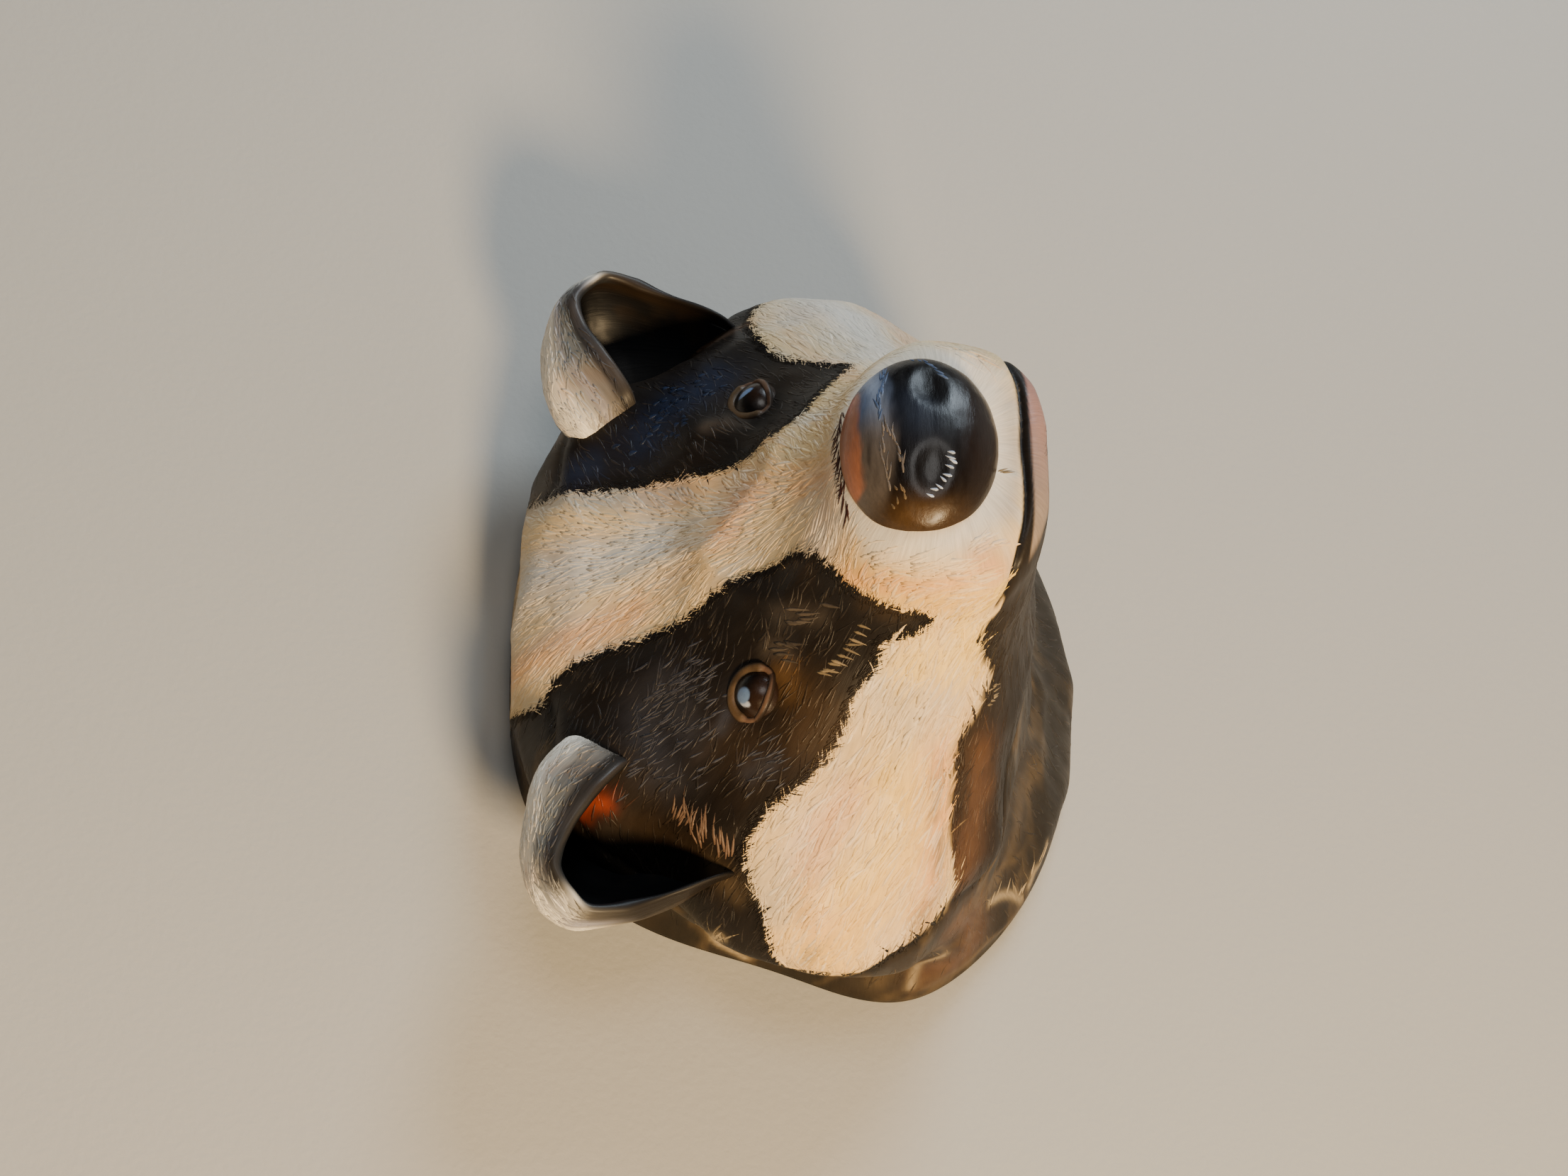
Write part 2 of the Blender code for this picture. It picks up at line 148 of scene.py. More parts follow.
def softNoise(points, size, seed):
    # value noise: random numbers on a lattice of that size, blended smoothly, from -1 to 1
    p = points / size + seed * 7.31
    cell = np.floor(p).astype(np.int64)
    f = p - cell
    f = f * f * (3 - 2 * f)
    total = np.zeros(p.shape[:-1])
    for corner in np.ndindex(2, 2, 2):
        value = (scramble(cell + np.array(corner), seed) & 0xFFFFF) / 0xFFFFF
        total = total + value * np.prod(np.where(np.array(corner) == 1, f, 1 - f), axis=-1)
    return 2 * total - 1


def mottle(points, size, seed, layers=3):
    # several noises, each half the size and half the strength of the one before
    return sum(softNoise(points, size / 2 ** k, seed + k) / 2 ** k for k in range(layers)) / 1.6


def paperFacets(points, size, seed):
    # squared distance to the nearest of one random point per lattice cell, softly blended where two are
    # alike: a curved skin raised by it is flat in the cells and has soft ridges between them
    cell = np.floor(points / size).astype(np.int64)
    total = np.zeros(points.shape[:-1])
    for corner in np.ndindex(3, 3, 3):
        k = cell + np.array(corner) - 1
        mixed = scramble(k, seed)
        shift = np.stack([((mixed >> bits) & 1023) / 1023 for bits in (0, 10, 20)], -1)
        away = points / size - k - shift
        total = total + np.exp(-14 * np.sum(away * away, axis=-1))
    return -np.log(total) / 14 * size * size


def fadeIn(value, start, end):
    # 0 before start, 1 after end, smooth between
    t = np.clip((value - start) / (end - start), 0, 1)
    return t * t * (3 - 2 * t)


def unit(vectors):
    return vectors / np.maximum(norm(vectors, axis=-1, keepdims=True), 1e-12)


def gridNormals(points):
    # normals of a grid with closed rows, from the differences along and across it
    across = (np.roll(points, -1, axis=1) - np.roll(points, 1, axis=1)) / 2
    return unit(np.cross(across, np.gradient(points, axis=0)))


def gridFaces(rows, columns):
    # quads between neighbouring closed rows, as vertex numbers
    r, c = np.meshgrid(np.arange(rows - 1), np.arange(columns), indexing="ij")
    n = (c + 1) % columns
    quads = np.stack((r * columns + c, r * columns + n, (r + 1) * columns + n, (r + 1) * columns + c), -1)
    return quads.reshape(-1, 4)


def fan(first, columns, tip, turned):
    # triangles from one closed row to a single point
    around = first + np.arange(columns)
    after = first + (np.arange(columns) + 1) % columns
    sides = (after, around) if turned else (around, after)
    return np.stack((*sides, np.full(columns, tip)), -1)


def poleFaces(rows, columns):
    # a grid whose first and last rows close to the two points that follow its own
    last = rows * columns
    start = fan(0, columns, last, True)
    return [gridFaces(rows, columns), start, fan(last - columns, columns, last + 1, False)]


def roundTurn(count):
    # one whole turn in equal steps, in radians
    return np.linspace(0, 2 * np.pi, count, endpoint=False)


def inScene(name, data, axes=None):
    # an object of the scene; axes are its x, y and z directions and its place
    made = bpy.data.objects.new(name, data)
    bpy.context.scene.collection.objects.link(made)
    if axes is not None:
        made.matrix_world = Matrix([[axis[k] for axis in axes] for k in range(3)] + [[0, 0, 0, 1]])
    return made


def makePiece(name, vertices, faces, colours, material, extras=None, flatFaces=None):
    # mesh from arrays, turned outwards by its signed volume, with a colour and other values on each vertex
    volume = 0.0
    for part in faces:
        a, b, c = (vertices[part[:, k]] for k in range(3))
        volume += np.sum(a * np.cross(b, c))
        if part.shape[1] == 4:
            volume += np.sum(a * np.cross(c, vertices[part[:, 3]]))
    if volume < 0:
        faces = [part[:, ::-1] for part in faces]
    mesh = bpy.data.meshes.new(name)
    mesh.from_pydata(vertices.tolist(), [], [face for part in faces for face in part.tolist()])
    mesh.shade_smooth()
    if flatFaces is not None:
        mesh.attributes.new("sharp_face", "BOOLEAN", "FACE").data.foreach_set("value", flatFaces)
    for key, array in dict(paint=colours, **(extras or {})).items():
        kind, field = ("FLOAT", "value") if array.ndim == 1 else ("FLOAT_COLOR", "color")
        if key == "comb":
            kind, field = "FLOAT_VECTOR", "vector"
        elif array.ndim == 2:
            array = np.hstack((array, np.ones((len(array), 1))))
        mesh.attributes.new(key, kind, "POINT").data.foreach_set(field, array.astype(np.float32).ravel())
    mesh.materials.append(material)
    piece = inScene(name, mesh)
    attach(piece, "root")
    return piece


def screenColour(red, green, blue):
    # a paint named by its screen values, 0 to 255, turned into linear light
    value = np.array((red, green, blue)) / 255
    return np.where(value <= 0.04045, value / 12.92, ((value + 0.055) / 1.055) ** 2.4)


screenPaints = dict(
    cream=(226, 196, 146), yellowCream=(236, 188, 96), paleYellow=(244, 206, 118),
    coolWhite=(208, 207, 202), ringWhite=(236, 226, 208), peach=(218, 154, 104),
    orangePeach=(232, 172, 106), beige=(188, 166, 142), greyBlue=(146, 150, 154), greyCream=(196, 180, 152),
    greyTan=(126, 110, 84), taupe=(150, 132, 116), blackBrown=(24, 19, 15), umber=(46, 35, 24),
    eyeBrown=(58, 43, 27), ochre=(96, 70, 40), greyStreak=(74, 66, 58), blueGrey=(60, 60, 66),
    navy=(28, 38, 60), jawBrown=(36, 28, 19), olive=(30, 26, 20), collarBrown=(42, 34, 25),
    tan=(90, 74, 52), rust=(84, 58, 38), paleTan=(160, 142, 112), pinkTan=(104, 82, 66),
    orangeRed=(132, 50, 24), maroon=(62, 30, 22), lipPink=(164, 122, 110), noseBlack=(14, 11, 10),
    noseBrown=(26, 17, 12), noseGrey=(96, 88, 82), noseBlue=(78, 94, 124), strokeWhite=(178, 186, 202),
    rimOrange=(150, 96, 70), rimPink=(196, 124, 112), earBlack=(17, 19, 22), slate=(64, 72, 78),
    lavender=(168, 166, 176), earCream=(232, 224, 208), eyeDark=(38, 24, 15), lidBrown=(86, 68, 48),
    lidPink=(100, 76, 60), skyBlue=(104, 128, 164),
)
paints = {name: screenColour(*value) for name, value in screenPaints.items()}


def layPaint(under, *coats):
    # coats over each other: each is a paint, by its name or by vertex, and its share from 0 to 1
    for over, share in coats:
        under, over = (paints[paint] if isinstance(paint, str) else paint for paint in (under, over))
        under = under + (over - under) * np.clip(share, 0, 1)[..., None]
    return under


def bell(*parts):
    # 1 in the middle of a patch, fading out; each part is a value, its middle and its half width
    return np.exp(-0.5 * sum(((value - middle) / width) ** 2 for value, middle, width in parts))


# Outlines and marks on the skin are (turn, station) places: turn is degrees from the top, minus on the
# viewer's left. Each stretch of the cream fur's outline has its name.
def mirrored(places):
    # the same places on the other side, in the opposite order
    return tuple((-turn, station) for turn, station in reversed(places))


halfLip = ((-116.5, 9.5), (-122.5, 10.19), (-135, 10.74), (-164, 11.12))
mouthEnd = ((-113, 8.3), (-115, 8.79))
mouthSide = ((-111.5, 7.1), (-107, 7.5), (-110, 7.85), (-115, 8.2), (-115, 8.8))
jowlEdge = ((-91, 3.1), (-96, 3.75), (-102, 4.05))
creamOutline = dict(
    stripeLeft=((-14, -0.2), (-15.5, 0.9), (-20.8, 2.4), (-18.4, 3.2), (-20.2, 4.2), (-22.5, 5.1),
        (-21, 5.9), (-24.8, 6.7)),
    patchFrontLeft=((-27, 7.2), (-38, 7.7), (-56, 7.95), (-70, 8.1), (-80, 8.2)),
    tipLeft=((-88, 8.16), (-86, 7.85), (-81, 7.62)),
    patchLowLeft=((-74.5, 7.42), (-76, 7.05), (-73.4, 6.6), (-74.3, 6.2), (-72.6, 5.7), (-68.6, 5.2),
        (-68.2, 4.65)),
    underEarLeft=((-71, 4.3), (-76, 4), (-79, 3.4), (-84, 2.9)),
    jowlLeft=jowlEdge,
    cheekLowLeft=((-107, 4.15), (-105.4, 4.8), (-103.6, 5.5), (-104.4, 6.2), (-111, 6.5), (-116, 6.72)),
    mouthSideLeft=mouthSide,
    lip=halfLip + mirrored(halfLip),
    mouthSideRight=mirrored(mouthSide),
    cheekLowRight=((116, 6.72), (110, 6.45), (104, 6.1), (103.8, 5.4), (105.2, 4.8), (107, 4.15)),
    jowlRight=mirrored(jowlEdge),
    underEarRight=((84, 2.9), (79, 3.5), (75, 4.1), (71, 4.45)),
    patchLowRight=((67.4, 5), (65.2, 5.6), (68, 6), (72, 6.35), (75, 6.62)),
    patchFrontRight=((60.2, 6.9), (45, 6.87), (36, 6.4), (29, 6)),
    stripeRight=((25.2, 5.4), (24.2, 4.7), (23.2, 4.2), (21.4, 3.3), (20.3, 2.6), (19.8, 1.7),
        (16.5, 0.6), (15, -0.2)),
)
mouthLine = mouthEnd + halfLip + mirrored(mouthEnd + halfLip)
mouthSmudge = ((-113.6, 8.7), (-115.2, 9.1))
noseRim = ((-53, 9.92), (-72, 10.6), (-88, 11), (-104, 11.27), (-125, 11.55), (-155, 11.79), (155, 11.79),
           (125, 11.55), (104, 11.27), (86, 11), (70, 10.6), (50, 10.1), (30, 9.75), (0, 9.75), (-32, 9.7))
# The fold between the collar and the face, from the crown round to the chin; the same on both sides
collarFold = ((0, -0.5), (15, -0.5), (17.5, 2.4), (22, 2.88), (31, 2.96), (45, 2.6), (60, 2.3), (80, 3),
    (92, 3.15),
              (97, 3.75), (107, 4.12), (118, 3.6), (122, 4.2), (126, 4.95), (136, 5.2), (160, 4.6),
                  (180, 4.4))

# Soft patches of thinned paint, a few of them painted light and shade as noted below: paint, half width in
# millimetres, strength, and the line that it follows
creamPatches = dict(
    stripe=(
        ("coolWhite", 9, 0.8, ((4, 2), (3.5, 3.4), (5, 4.6))),
        ("peach", 5, 0.6, ((-11, 1.2), (-13, 3.4), (-13, 4.3))),
        # painted shade: greyTan darkens the stripe's top where it meets the wall
        ("greyTan", 6, 0.75, ((-14, 0.1), (0, 0.1), (16, 0.1))),
        ("beige", 6, 0.55, ((-9.8, 4.9), (-2.8, 5.2), (7.8, 5.35))),
        ("peach", 5, 0.7, ((-1.8, 5.76), (7.8, 5.94), (14.8, 6.26))),
        ("greyBlue", 4, 0.55, ((19, 1), (19.5, 3), (20, 4.3), (21, 5))),
        ("coolWhite", 8, 0.45, ((-30, 7.9), (-12, 8.1))),
        ("peach", 5, 0.45, ((6, 7.2), (-2.8, 8.4))),
    ),
    muzzle=(
        # the yellowCream here is partly the muzzle's own warm cream and partly painted lamplight from the
        # left
        ("yellowCream", 8, 0.85, ((-60, 8.5), (-85, 8.8), (-100, 8.8))),
        ("orangePeach", 3.2, 0.8, ((-51, 8), (-64.5, 8.66), (-77.2, 9.15), (-91.5, 9.66))),
        ("taupe", 4, 0.75, ((-127, 11.3), (-145, 11.45), (180, 11.5), (145, 11.35))),
        ("peach", 4, 0.7, ((-103.5, 10.4), (-107.5, 9.9))),
        ("greyBlue", 1, 0.85, ((-147, 11.75), (-153.5, 11.35))),
    ),
    cheekLeft=(
        # the yellowCream and paleYellow patches are partly the cheek's own warm cream and partly painted
        # lamplight from the left
        ("yellowCream", 15, 0.85, ((-86, 3.9), (-90, 4.8), (-94, 5.6))),
        ("peach", 6, 0.55, ((-83.5, 4.4), (-79, 5), (-81, 5.6))),
        ("peach", 4, 0.6, ((-101, 4.4), (-101, 5.3), (-100, 6.1))),
        ("greyCream", 5, 0.6, ((-72, 4.4), (-76, 4.2))),
        ("greyTan", 2.5, 0.55, ((-83.2, 3.25), (-84.2, 3.7))),
        ("greyTan", 3, 0.55, ((-99.5, 4.2), (-103, 4.5))),
        ("greyTan", 1.8, 0.75, ((-102.4, 4.85), (-101.8, 5.2))),
        ("greyTan", 1.8, 0.75, ((-99.7, 5.5), (-99.3, 5.85))),
        ("greyCream", 6, 0.6, ((-84.5, 6.6), (-91.5, 6.55), (-97, 6.7))),
        ("paleYellow", 6, 0.85, ((-86, 7.1), (-92, 7.4), (-102, 7.2), (-102.5, 7.7))),
        ("paleYellow", 6, 0.6, ((-84, 4.6), (-90, 5.2), (-88, 6))),
    ),
    cheekRight=(
        # the coolWhite patch is partly the cheek's own pale paint and partly painted daylight from the right
        ("coolWhite", 14, 0.7, ((84, 3.8), (86, 5), (88, 6.2))),
        ("peach", 6, 0.45, ((96, 4.2), (99, 5.4), (97, 6.6))),
        ("beige", 5, 0.5, ((101, 4.5), (101, 5.8))),
    ),
)
darkPatches = dict(
    eyeLeft=(
        ("umber", 9, 0.85, ((-54, 5.3), (-61, 5.45), (-66, 5.8), (-64, 6.3))),
        ("eyeBrown", 6, 0.75, ((-62.5, 6.15), (-70, 5.9), (-70, 6.25))),
        ("ochre", 4, 0.85, ((-57.2, 6.22), (-54, 6.24))),
        ("blueGrey", 1.8, 0.8, ((-51.4, 5.25), (-50.2, 5.38))),
        ("greyStreak", 2.6, 0.6, ((-45.5, 6.2), (-48.2, 6.35), (-51, 6.4))),
        ("greyStreak", 3, 0.45, ((-41, 6.6), (-46, 6.9), (-52, 7.15))),
    ),
    eyeRight=(
        ("umber", 7, 0.55, ((52, 5.5), (58, 5.8), (62, 6.2))),
        ("greyStreak", 2.4, 0.7, ((39.5, 5.34), (42.5, 5.55), (43, 5.8))),
        ("navy", 8, 0.75, ((35, 4.35), (45, 4.65), (52, 5))),
        ("navy", 5, 0.6, ((24.5, 3.2), (27, 3.5))),
        ("pinkTan", 1.8, 0.65, ((63.2, 3.6), (66, 4.3), (70, 4.5))),
    ),
    ears=(
        ("umber", 6, 0.8, ((-50, 3.5), (-56, 3.75), (-61, 4), (-66, 4))),
        ("umber", 5, 0.55, ((-43, 3.9), (-50.8, 4.08))),
        ("tan", 3, 0.45, ((-66, 4.1), (-71, 4.05))),
        ("orangeRed", 2.8, 0.95, ((-42, 2.95), (-43.3, 3.3), (-45, 3.45))),
        ("umber", 6, 0.5, ((50, 3.5), (60, 3.9), (66, 4.1))),
    ),
    patch=(
        ("blueGrey", 7, 0.55, ((-49, 4.35), (-40, 4.4), (-35, 4.65), (-46, 4.85))),
        ("blueGrey", 3, 0.5, ((-64.3, 5.5), (-62, 5.25))),
        ("umber", 2.4, 0.9, ((-62, 7.86), (-70, 7.98), (-78, 8.08))),
        ("umber", 3, 0.55, ((-28, 7), (-36, 7.4))),
    ),
    jaw=(
        ("jawBrown", 15, 0.95, ((-118, 6.4), (-124, 7.4), (-122, 8.4), (-150, 8.4), (-150, 6.4),
            (180, 7.4))),
        ("jawBrown", 15, 0.95, ((118, 6.4), (124, 7.4), (122, 8.4), (150, 8.4), (150, 6.4))),
        ("rust", 7, 0.95, ((-108.5, 4.5), (-111.5, 5.2), (-111.5, 5.9))),
        ("rust", 6, 0.7, ((108.5, 4.5), (111.5, 5.2), (111.5, 5.9))),
        ("umber", 3, 0.75, ((-107.6, 5.3), (-106.2, 6), (-108.5, 6.4))),
        ("blackBrown", 0.7, 0.9, ((-116.2, 5.66), (-116.1, 5.7))),
    ),
    collar=(
        ("rust", 7, 0.75, ((-100, 0.9), (-108, 1), (-112, 1.9), (-110, 3))),
        ("rust", 6, 0.5, ((102, 0.9), (110, 1.6))),
        ("olive", 14, 0.9, ((-136, 1.2), (-160, 1.4), (180, 1.4), (150, 1.2), (130, 1))),
        ("blackBrown", 6, 0.7, ((-150, 4), (180, 3.6), (150, 4))),
        ("olive", 8, 0.8, ((-24, 1.2), (-40, 1.4), (-55, 1.3))),
        ("olive", 8, 0.8, ((24, 1.2), (40, 1.4), (55, 1.3))),
        ("paleTan", 1.3, 0.9, ((-66, 0.2), (-61, 0.5), (-60.5, 1.3), (-66, 2.2), (-71, 3.1))),
        ("paleTan", 1.3, 0.8, ((-117.5, 1.6), (-121, 1.3), (-123.5, 0.7))),
        ("paleTan", 1.2, 0.8, ((-127, 0.8), (-130, 1), (-133, 0.8), (-136, 1.1))),
        ("paleTan", 1.4, 0.6, ((-96, 0.5), (-99, 1.3), (-104, 1.5))),
        ("paleTan", 1.3, 0.55, ((112, 0.8), (118, 1.4), (124, 1))),
        ("tan", 4, 0.6, ((-90, 0.6), (-95, 1.5), (-97, 2.6))),
        ("tan", 4, 0.5, ((-128, 2), (-138, 2.6), (-150, 2.2))),
    ),
)


def flatChart(station, turn):
    # the skin laid flat like a map from above the nose: stations are rings and turns are directions
    ring = lastStation - np.asarray(station, float)
    angle = np.radians(np.asarray(turn, float))
    return np.stack((ring * np.sin(angle), ring * np.cos(angle)), axis=-1)


def chartCurve(places, closed=False, spacing=4):
    # a smooth curve through chart places, as station and turn
    places = np.array(places, float)
    chart = flatChart(places[:, 1], places[:, 0])
    if closed:
        chart = np.vstack((chart, chart[:1]))
    along = np.linspace(0, len(chart) - 1, (len(chart) - 1) * spacing + 1)
    x, y = (smoothLine(chart[:, k], along) for k in (0, 1))
    return lastStation - np.hypot(x, y), np.degrees(np.arctan2(x, y))


def insideCurve(chart, curve):
    # counts how often a line from the point to the right meets the outline: an odd count is inside
    corners = flatChart(*curve)
    inside = np.zeros(chart.shape[:-1], bool)
    for a, b in zip(corners, np.roll(corners, -1, axis=0)):
        crosses = (a[1] > chart[..., 1]) != (b[1] > chart[..., 1])
        rise = b[1] - a[1] if b[1] != a[1] else 1.0
        inside ^= crosses & (chart[..., 0] < a[0] + (chart[..., 1] - a[1]) / rise * (b[0] - a[0]))
    return inside


def distanceTo(points, line):
    # distance from each point to a line of short straight steps, in metres
    best = np.full(points.shape[:-1], 1e9)
    for a, b in zip(line[:-1], line[1:]):
        step = b - a
        share = np.clip(((points - a) @ step) / max(step @ step, 1e-12), 0, 1)
        best = np.minimum(best, norm(points - a - share[..., None] * step, axis=-1))
    return best


def lineOnSkin(places, closed=False, spacing=4):
    station, turn = chartCurve(places, closed, spacing)
    return headSurface(np.clip(station, 0.001, None), turn)


headMiddle = np.array((0.0, -0.06, 0.0))
skinMake = dict(rows=186, columns=512, backRings=8, facet=0.026, facetCurve=0.082, lump=0.0005, dent=0.0002)
mouthCut = dict(depth=0.0012, width=0.001)


def spreadStations(count):
    # stations at equal steps over the surface, twice as close on the muzzle's front
    fine = np.linspace(0, lastStation, 1200)
    line = np.stack([headSurface(fine, turn) for turn in (0, 50, 90, 130, 180)])
    step = norm(np.diff(line, axis=1), axis=-1).mean(0)
    travel = np.concatenate(([0], np.cumsum(step * (1 + fadeIn(fine[1:], 7.5, 10.0)))))
    return np.interp(np.linspace(0, travel[-1], count), travel, fine)


def skinRelief(points, station):
    # flat patches of paper with soft ridges between, lumps and dents, all fading out at the wall
    facets = paperFacets(points, skinMake["facet"], 4) / (2 * skinMake["facetCurve"]) - 0.0005
    facets = facets * (1 - 0.6 * fadeIn(station, 6.5, 9.0))
    lumps = skinMake["lump"] * mottle(points, 0.024, 3)
    dents = skinMake["dent"] * mottle(points, 0.007, 11, 2)
    return (facets + lumps + dents) * fadeIn(station, 0.0, 0.6)


def buildSkin():
    station = spreadStations(skinMake["rows"])
    turn = np.linspace(-180, 180, skinMake["columns"], endpoint=False)
    s, t = np.meshgrid(station, turn, indexing="ij")
    smooth = headSurface(s, t)
    normal = gridNormals(smooth)
    outward = np.sign(np.sum(normal * (smooth - headMiddle), axis=-1).mean())
    mouth = distanceTo(smooth, lineOnSkin(mouthLine, spacing=10))
    fold = np.interp(np.abs(t), *np.array(collarFold).T)
    foldGap = (s - fold) * 0.0125
    crease = 0.0007 * np.exp(-(foldGap / 0.0012) ** 2) * fadeIn(np.abs(t), 18, 24)
    groove = mouthCut["depth"] * np.exp(-(mouth / mouthCut["width"]) ** 2)
    points = smooth + outward * normal * (skinRelief(smooth, s) - groove - crease)[..., None]
    points[0, :, 1] = 0.0
    step = norm(np.diff(points, axis=0), axis=-1).mean(1)
    travel = np.concatenate(([0], np.cumsum(step)))[:, None] + 0 * t
    comb = np.stack((0.055 * np.sin(np.radians(t)), 0.055 * np.cos(np.radians(t)), 0.16 * travel), -1)
    normal = outward * gridNormals(points)
    return dict(station=station, points=points, normal=normal, mouth=mouth, smooth=smooth,
                s=s, t=t, foldGap=foldGap, comb=comb)


def layPatches(colour, points, groups, seed):
    # each patch fades out from its line, with an uneven edge
    uneven = 0.35 * mottle(points, 0.006, seed, 2)
    for group in groups.values():
        for name, width, strength, places in group:
            reach = distanceTo(points, lineOnSkin(places)) / (width * 0.001)
            share = strength * np.exp(-0.8 * np.maximum(0, reach + uneven) ** 2)
            colour = layPaint(colour, (name, share))
    return colour


def paintSkin(skin):
    # the cream and the dark paint are laid out everywhere, and the edge value says where they meet
    points, s, t, foldGap = (skin[key] for key in ("smooth", "s", "t", "foldGap"))
    around = np.abs(t)
    curve = chartCurve([place for stretch in creamOutline.values() for place in stretch], closed=True)
    gap = distanceTo(points, headSurface(np.clip(curve[0], 0.001, None), curve[1]))
    edge = np.where(insideCurve(flatChart(s, t), curve), gap, -gap)
    streaks = skin["comb"] * np.array((1, 1, 2.2))
    cream = layPaint("cream", ("peach", 0.35 * fadeIn(mottle(streaks, 0.012, 21), 0.1, 0.7)),
                     ("coolWhite", 0.45 * fadeIn(mottle(streaks, 0.009, 41), 0.0, 0.7)))
    ring = distanceTo(points, lineOnSkin(noseRim, closed=True))
    line = np.exp(-(skin["mouth"] / 0.00085) ** 4)
    smudge = distanceTo(points, lineOnSkin(mouthSmudge))
    cream = layPaint(layPatches(cream, points, creamPatches, 5),
                     ("ringWhite", 0.85 * bell((ring, 0, 0.0042))),
                     ("noseBlack", line), ("blackBrown", 0.8 * bell((smudge, 0, 0.0012))))
    marble = np.abs(mottle(points + 0.004 * mottle(points, 0.015, 71)[..., None], 0.02, 61))
    collar = layPaint("collarBrown", ("tan", 0.7 * fadeIn(0.16 - marble, 0, 0.14)),
                      ("olive", 0.75 * fadeIn(mottle(points, 0.014, 81), -0.1, 0.5)))
    dark = layPaint("blackBrown", ("umber", 0.45 * fadeIn(mottle(streaks, 0.01, 51), 0.15, 0.8)),
                    (collar, 1 - fadeIn(foldGap, -0.0008, 0.0008)))
    # painted shade: a near-black line darkens the crease of the collar fold
    foldShadeLine = np.exp(-(foldGap / 0.0009) ** 2) * fadeIn(around, 19, 24)
    below = -0.258 * headSpan["crown"] - points[..., 2]
    lip = fadeIn(below, 0.0003, 0.0012) * (1 - fadeIn(below, 0.0052, 0.008))
    lip = lip * fadeIn(s, 9.2, 9.8) * (s < 12.2)
    lipPaint = layPaint("taupe", ("lipPink", fadeIn(points[..., 0], -0.025, 0.02)))
    dark = layPaint(layPatches(dark, points, darkPatches, 15), ("noseBlack", 0.85 * foldShadeLine),
                    (lipPaint, 0.95 * lip), ("noseBlack", line))
    soft = 0.25 + 1.6 * fadeIn(around, 98, 103) * (1 - fadeIn(s, 7.6, 8.2))
    soft += 0.8 * fadeIn(around, 76, 82) * (1 - fadeIn(s, 4.0, 4.4))
    return dict(edge=edge * 1000, cream=cream, dark=dark, soft=soft)


def node(tree, kind, inputs, output=0, **settings):
    # a shader node with values or other nodes' sockets as its inputs; gives its output socket
    made = tree.nodes.new("ShaderNode" + kind)
    for key, value in settings.items():
        setattr(made, key, value)
    for key, value in inputs.items():
        if isinstance(value, bpy.types.NodeSocket):
            tree.links.new(value, made.inputs[key])
        else:
            made.inputs[key].default_value = value
    return made.outputs[output]


def newMaterial(name):
    material = bpy.data.materials.new(name)
    material.use_nodes = True
    return material, material.node_tree, material.node_tree.nodes["Principled BSDF"]


def brushedPaint(name, combed, twoPaints, roughness, coat, bristle):
    # paint from vertex colours; bristle marks run along the comb value and vary colour, gloss and height
    material, tree, shader = newMaterial(name)
    shader.inputs["Coat Weight"].default_value = coat
    shader.inputs["Coat Roughness"].default_value = 0.22
    shader.inputs["Specular IOR Level"].default_value = 0.22

    def onVertex(key, output="Fac"):
        return node(tree, "Attribute", {}, output, attribute_name=key)

    def spread(value, low, high, fromLow=0.3, fromHigh=0.7, **settings):
        limits = {"From Min": fromLow, "From Max": fromHigh, "To Min": low, "To Max": high}
        return node(tree, "MapRange", {"Value": value, **limits}, **settings)

    def noise(scale, detail, rough):
        inputs = {"Vector": where, "Scale": scale, "Detail": detail, "Roughness": rough}
        return node(tree, "TexNoise", inputs, "Fac")

    where = onVertex("comb", "Vector") if combed else node(tree, "TexCoord", {}, "Object")
    marks, broad = noise(900.0, 4.0, 0.62), noise(260.0, 3.0, 0.55)
    paint = onVertex("paint", "Color")
    if twoPaints:
        ragged = spread(broad, -1.6, 1.6, 0.0, 1.0)
        moved = node(tree, "Math", {0: onVertex("edge"), 1: ragged}, operation="ADD")
        scaled = node(tree, "Math", {0: moved, 1: onVertex("soft")}, operation="DIVIDE")
        share = spread(scaled, 0.0, 1.0, -1.0, 1.0, interpolation_type="SMOOTHSTEP")
        over = onVertex("overPaint", "Color")
        paint = node(tree, "Mix", {0: share, 6: paint, 7: over}, 2, data_type="RGBA")
    lighter = spread(marks, 1 - bristle, 1 + bristle)
    paint = node(tree, "Mix", {0: 1.0, 6: paint, 7: lighter}, 2, data_type="RGBA", blend_type="MULTIPLY")
    gloss = spread(broad, roughness - 0.1, roughness + 0.1)
    bump = node(tree, "Bump", {"Strength": 0.55, "Distance": 0.00022, "Height": marks}, "Normal")
    for key, socket in (("Base Color", paint), ("Roughness", gloss), ("Normal", bump)):
        tree.links.new(socket, shader.inputs[key])
    return material


furPaint = brushedPaint("varnishedFurPaint", True, True, 0.5, 0.05, 0.16)
strokePaint = brushedPaint("brushStrokePaint", False, False, 0.46, 0.05, 0.08)
earPaint = brushedPaint("varnishedEarPaint", True, False, 0.46, 0.06, 0.2)
nosePaint = brushedPaint("glossyNosePaint", True, False, 0.34, 0.1, 0.15)
eyePaint = brushedPaint("glossyEyePaint", False, False, 0.34, 0.35, 0.05)

print("head skin")
skin = buildSkin()
painted = paintSkin(skin)
rows, columns = skin["s"].shape
backCentre = np.array((0.0, 0.0, skin["points"][0, :, 2].mean()))
shares = np.linspace(0, 1, skinMake["backRings"] + 1)[1:-1, None, None]
rings = np.concatenate((backCentre + (skin["points"][0] - backCentre) * shares, skin["points"]))
vertices = np.vstack((rings.reshape(-1, 3), backCentre, skin["points"][-1].mean(0)))


def onBack(values, plain):
    # the same value or colour for the back's rings and for the two end points
    values = values.reshape(rows * columns, -1)
    back = np.broadcast_to(plain, ((len(rings) - rows) * columns, values.shape[1]))
    return np.vstack((back, values, np.broadcast_to(plain, (2, values.shape[1]))))


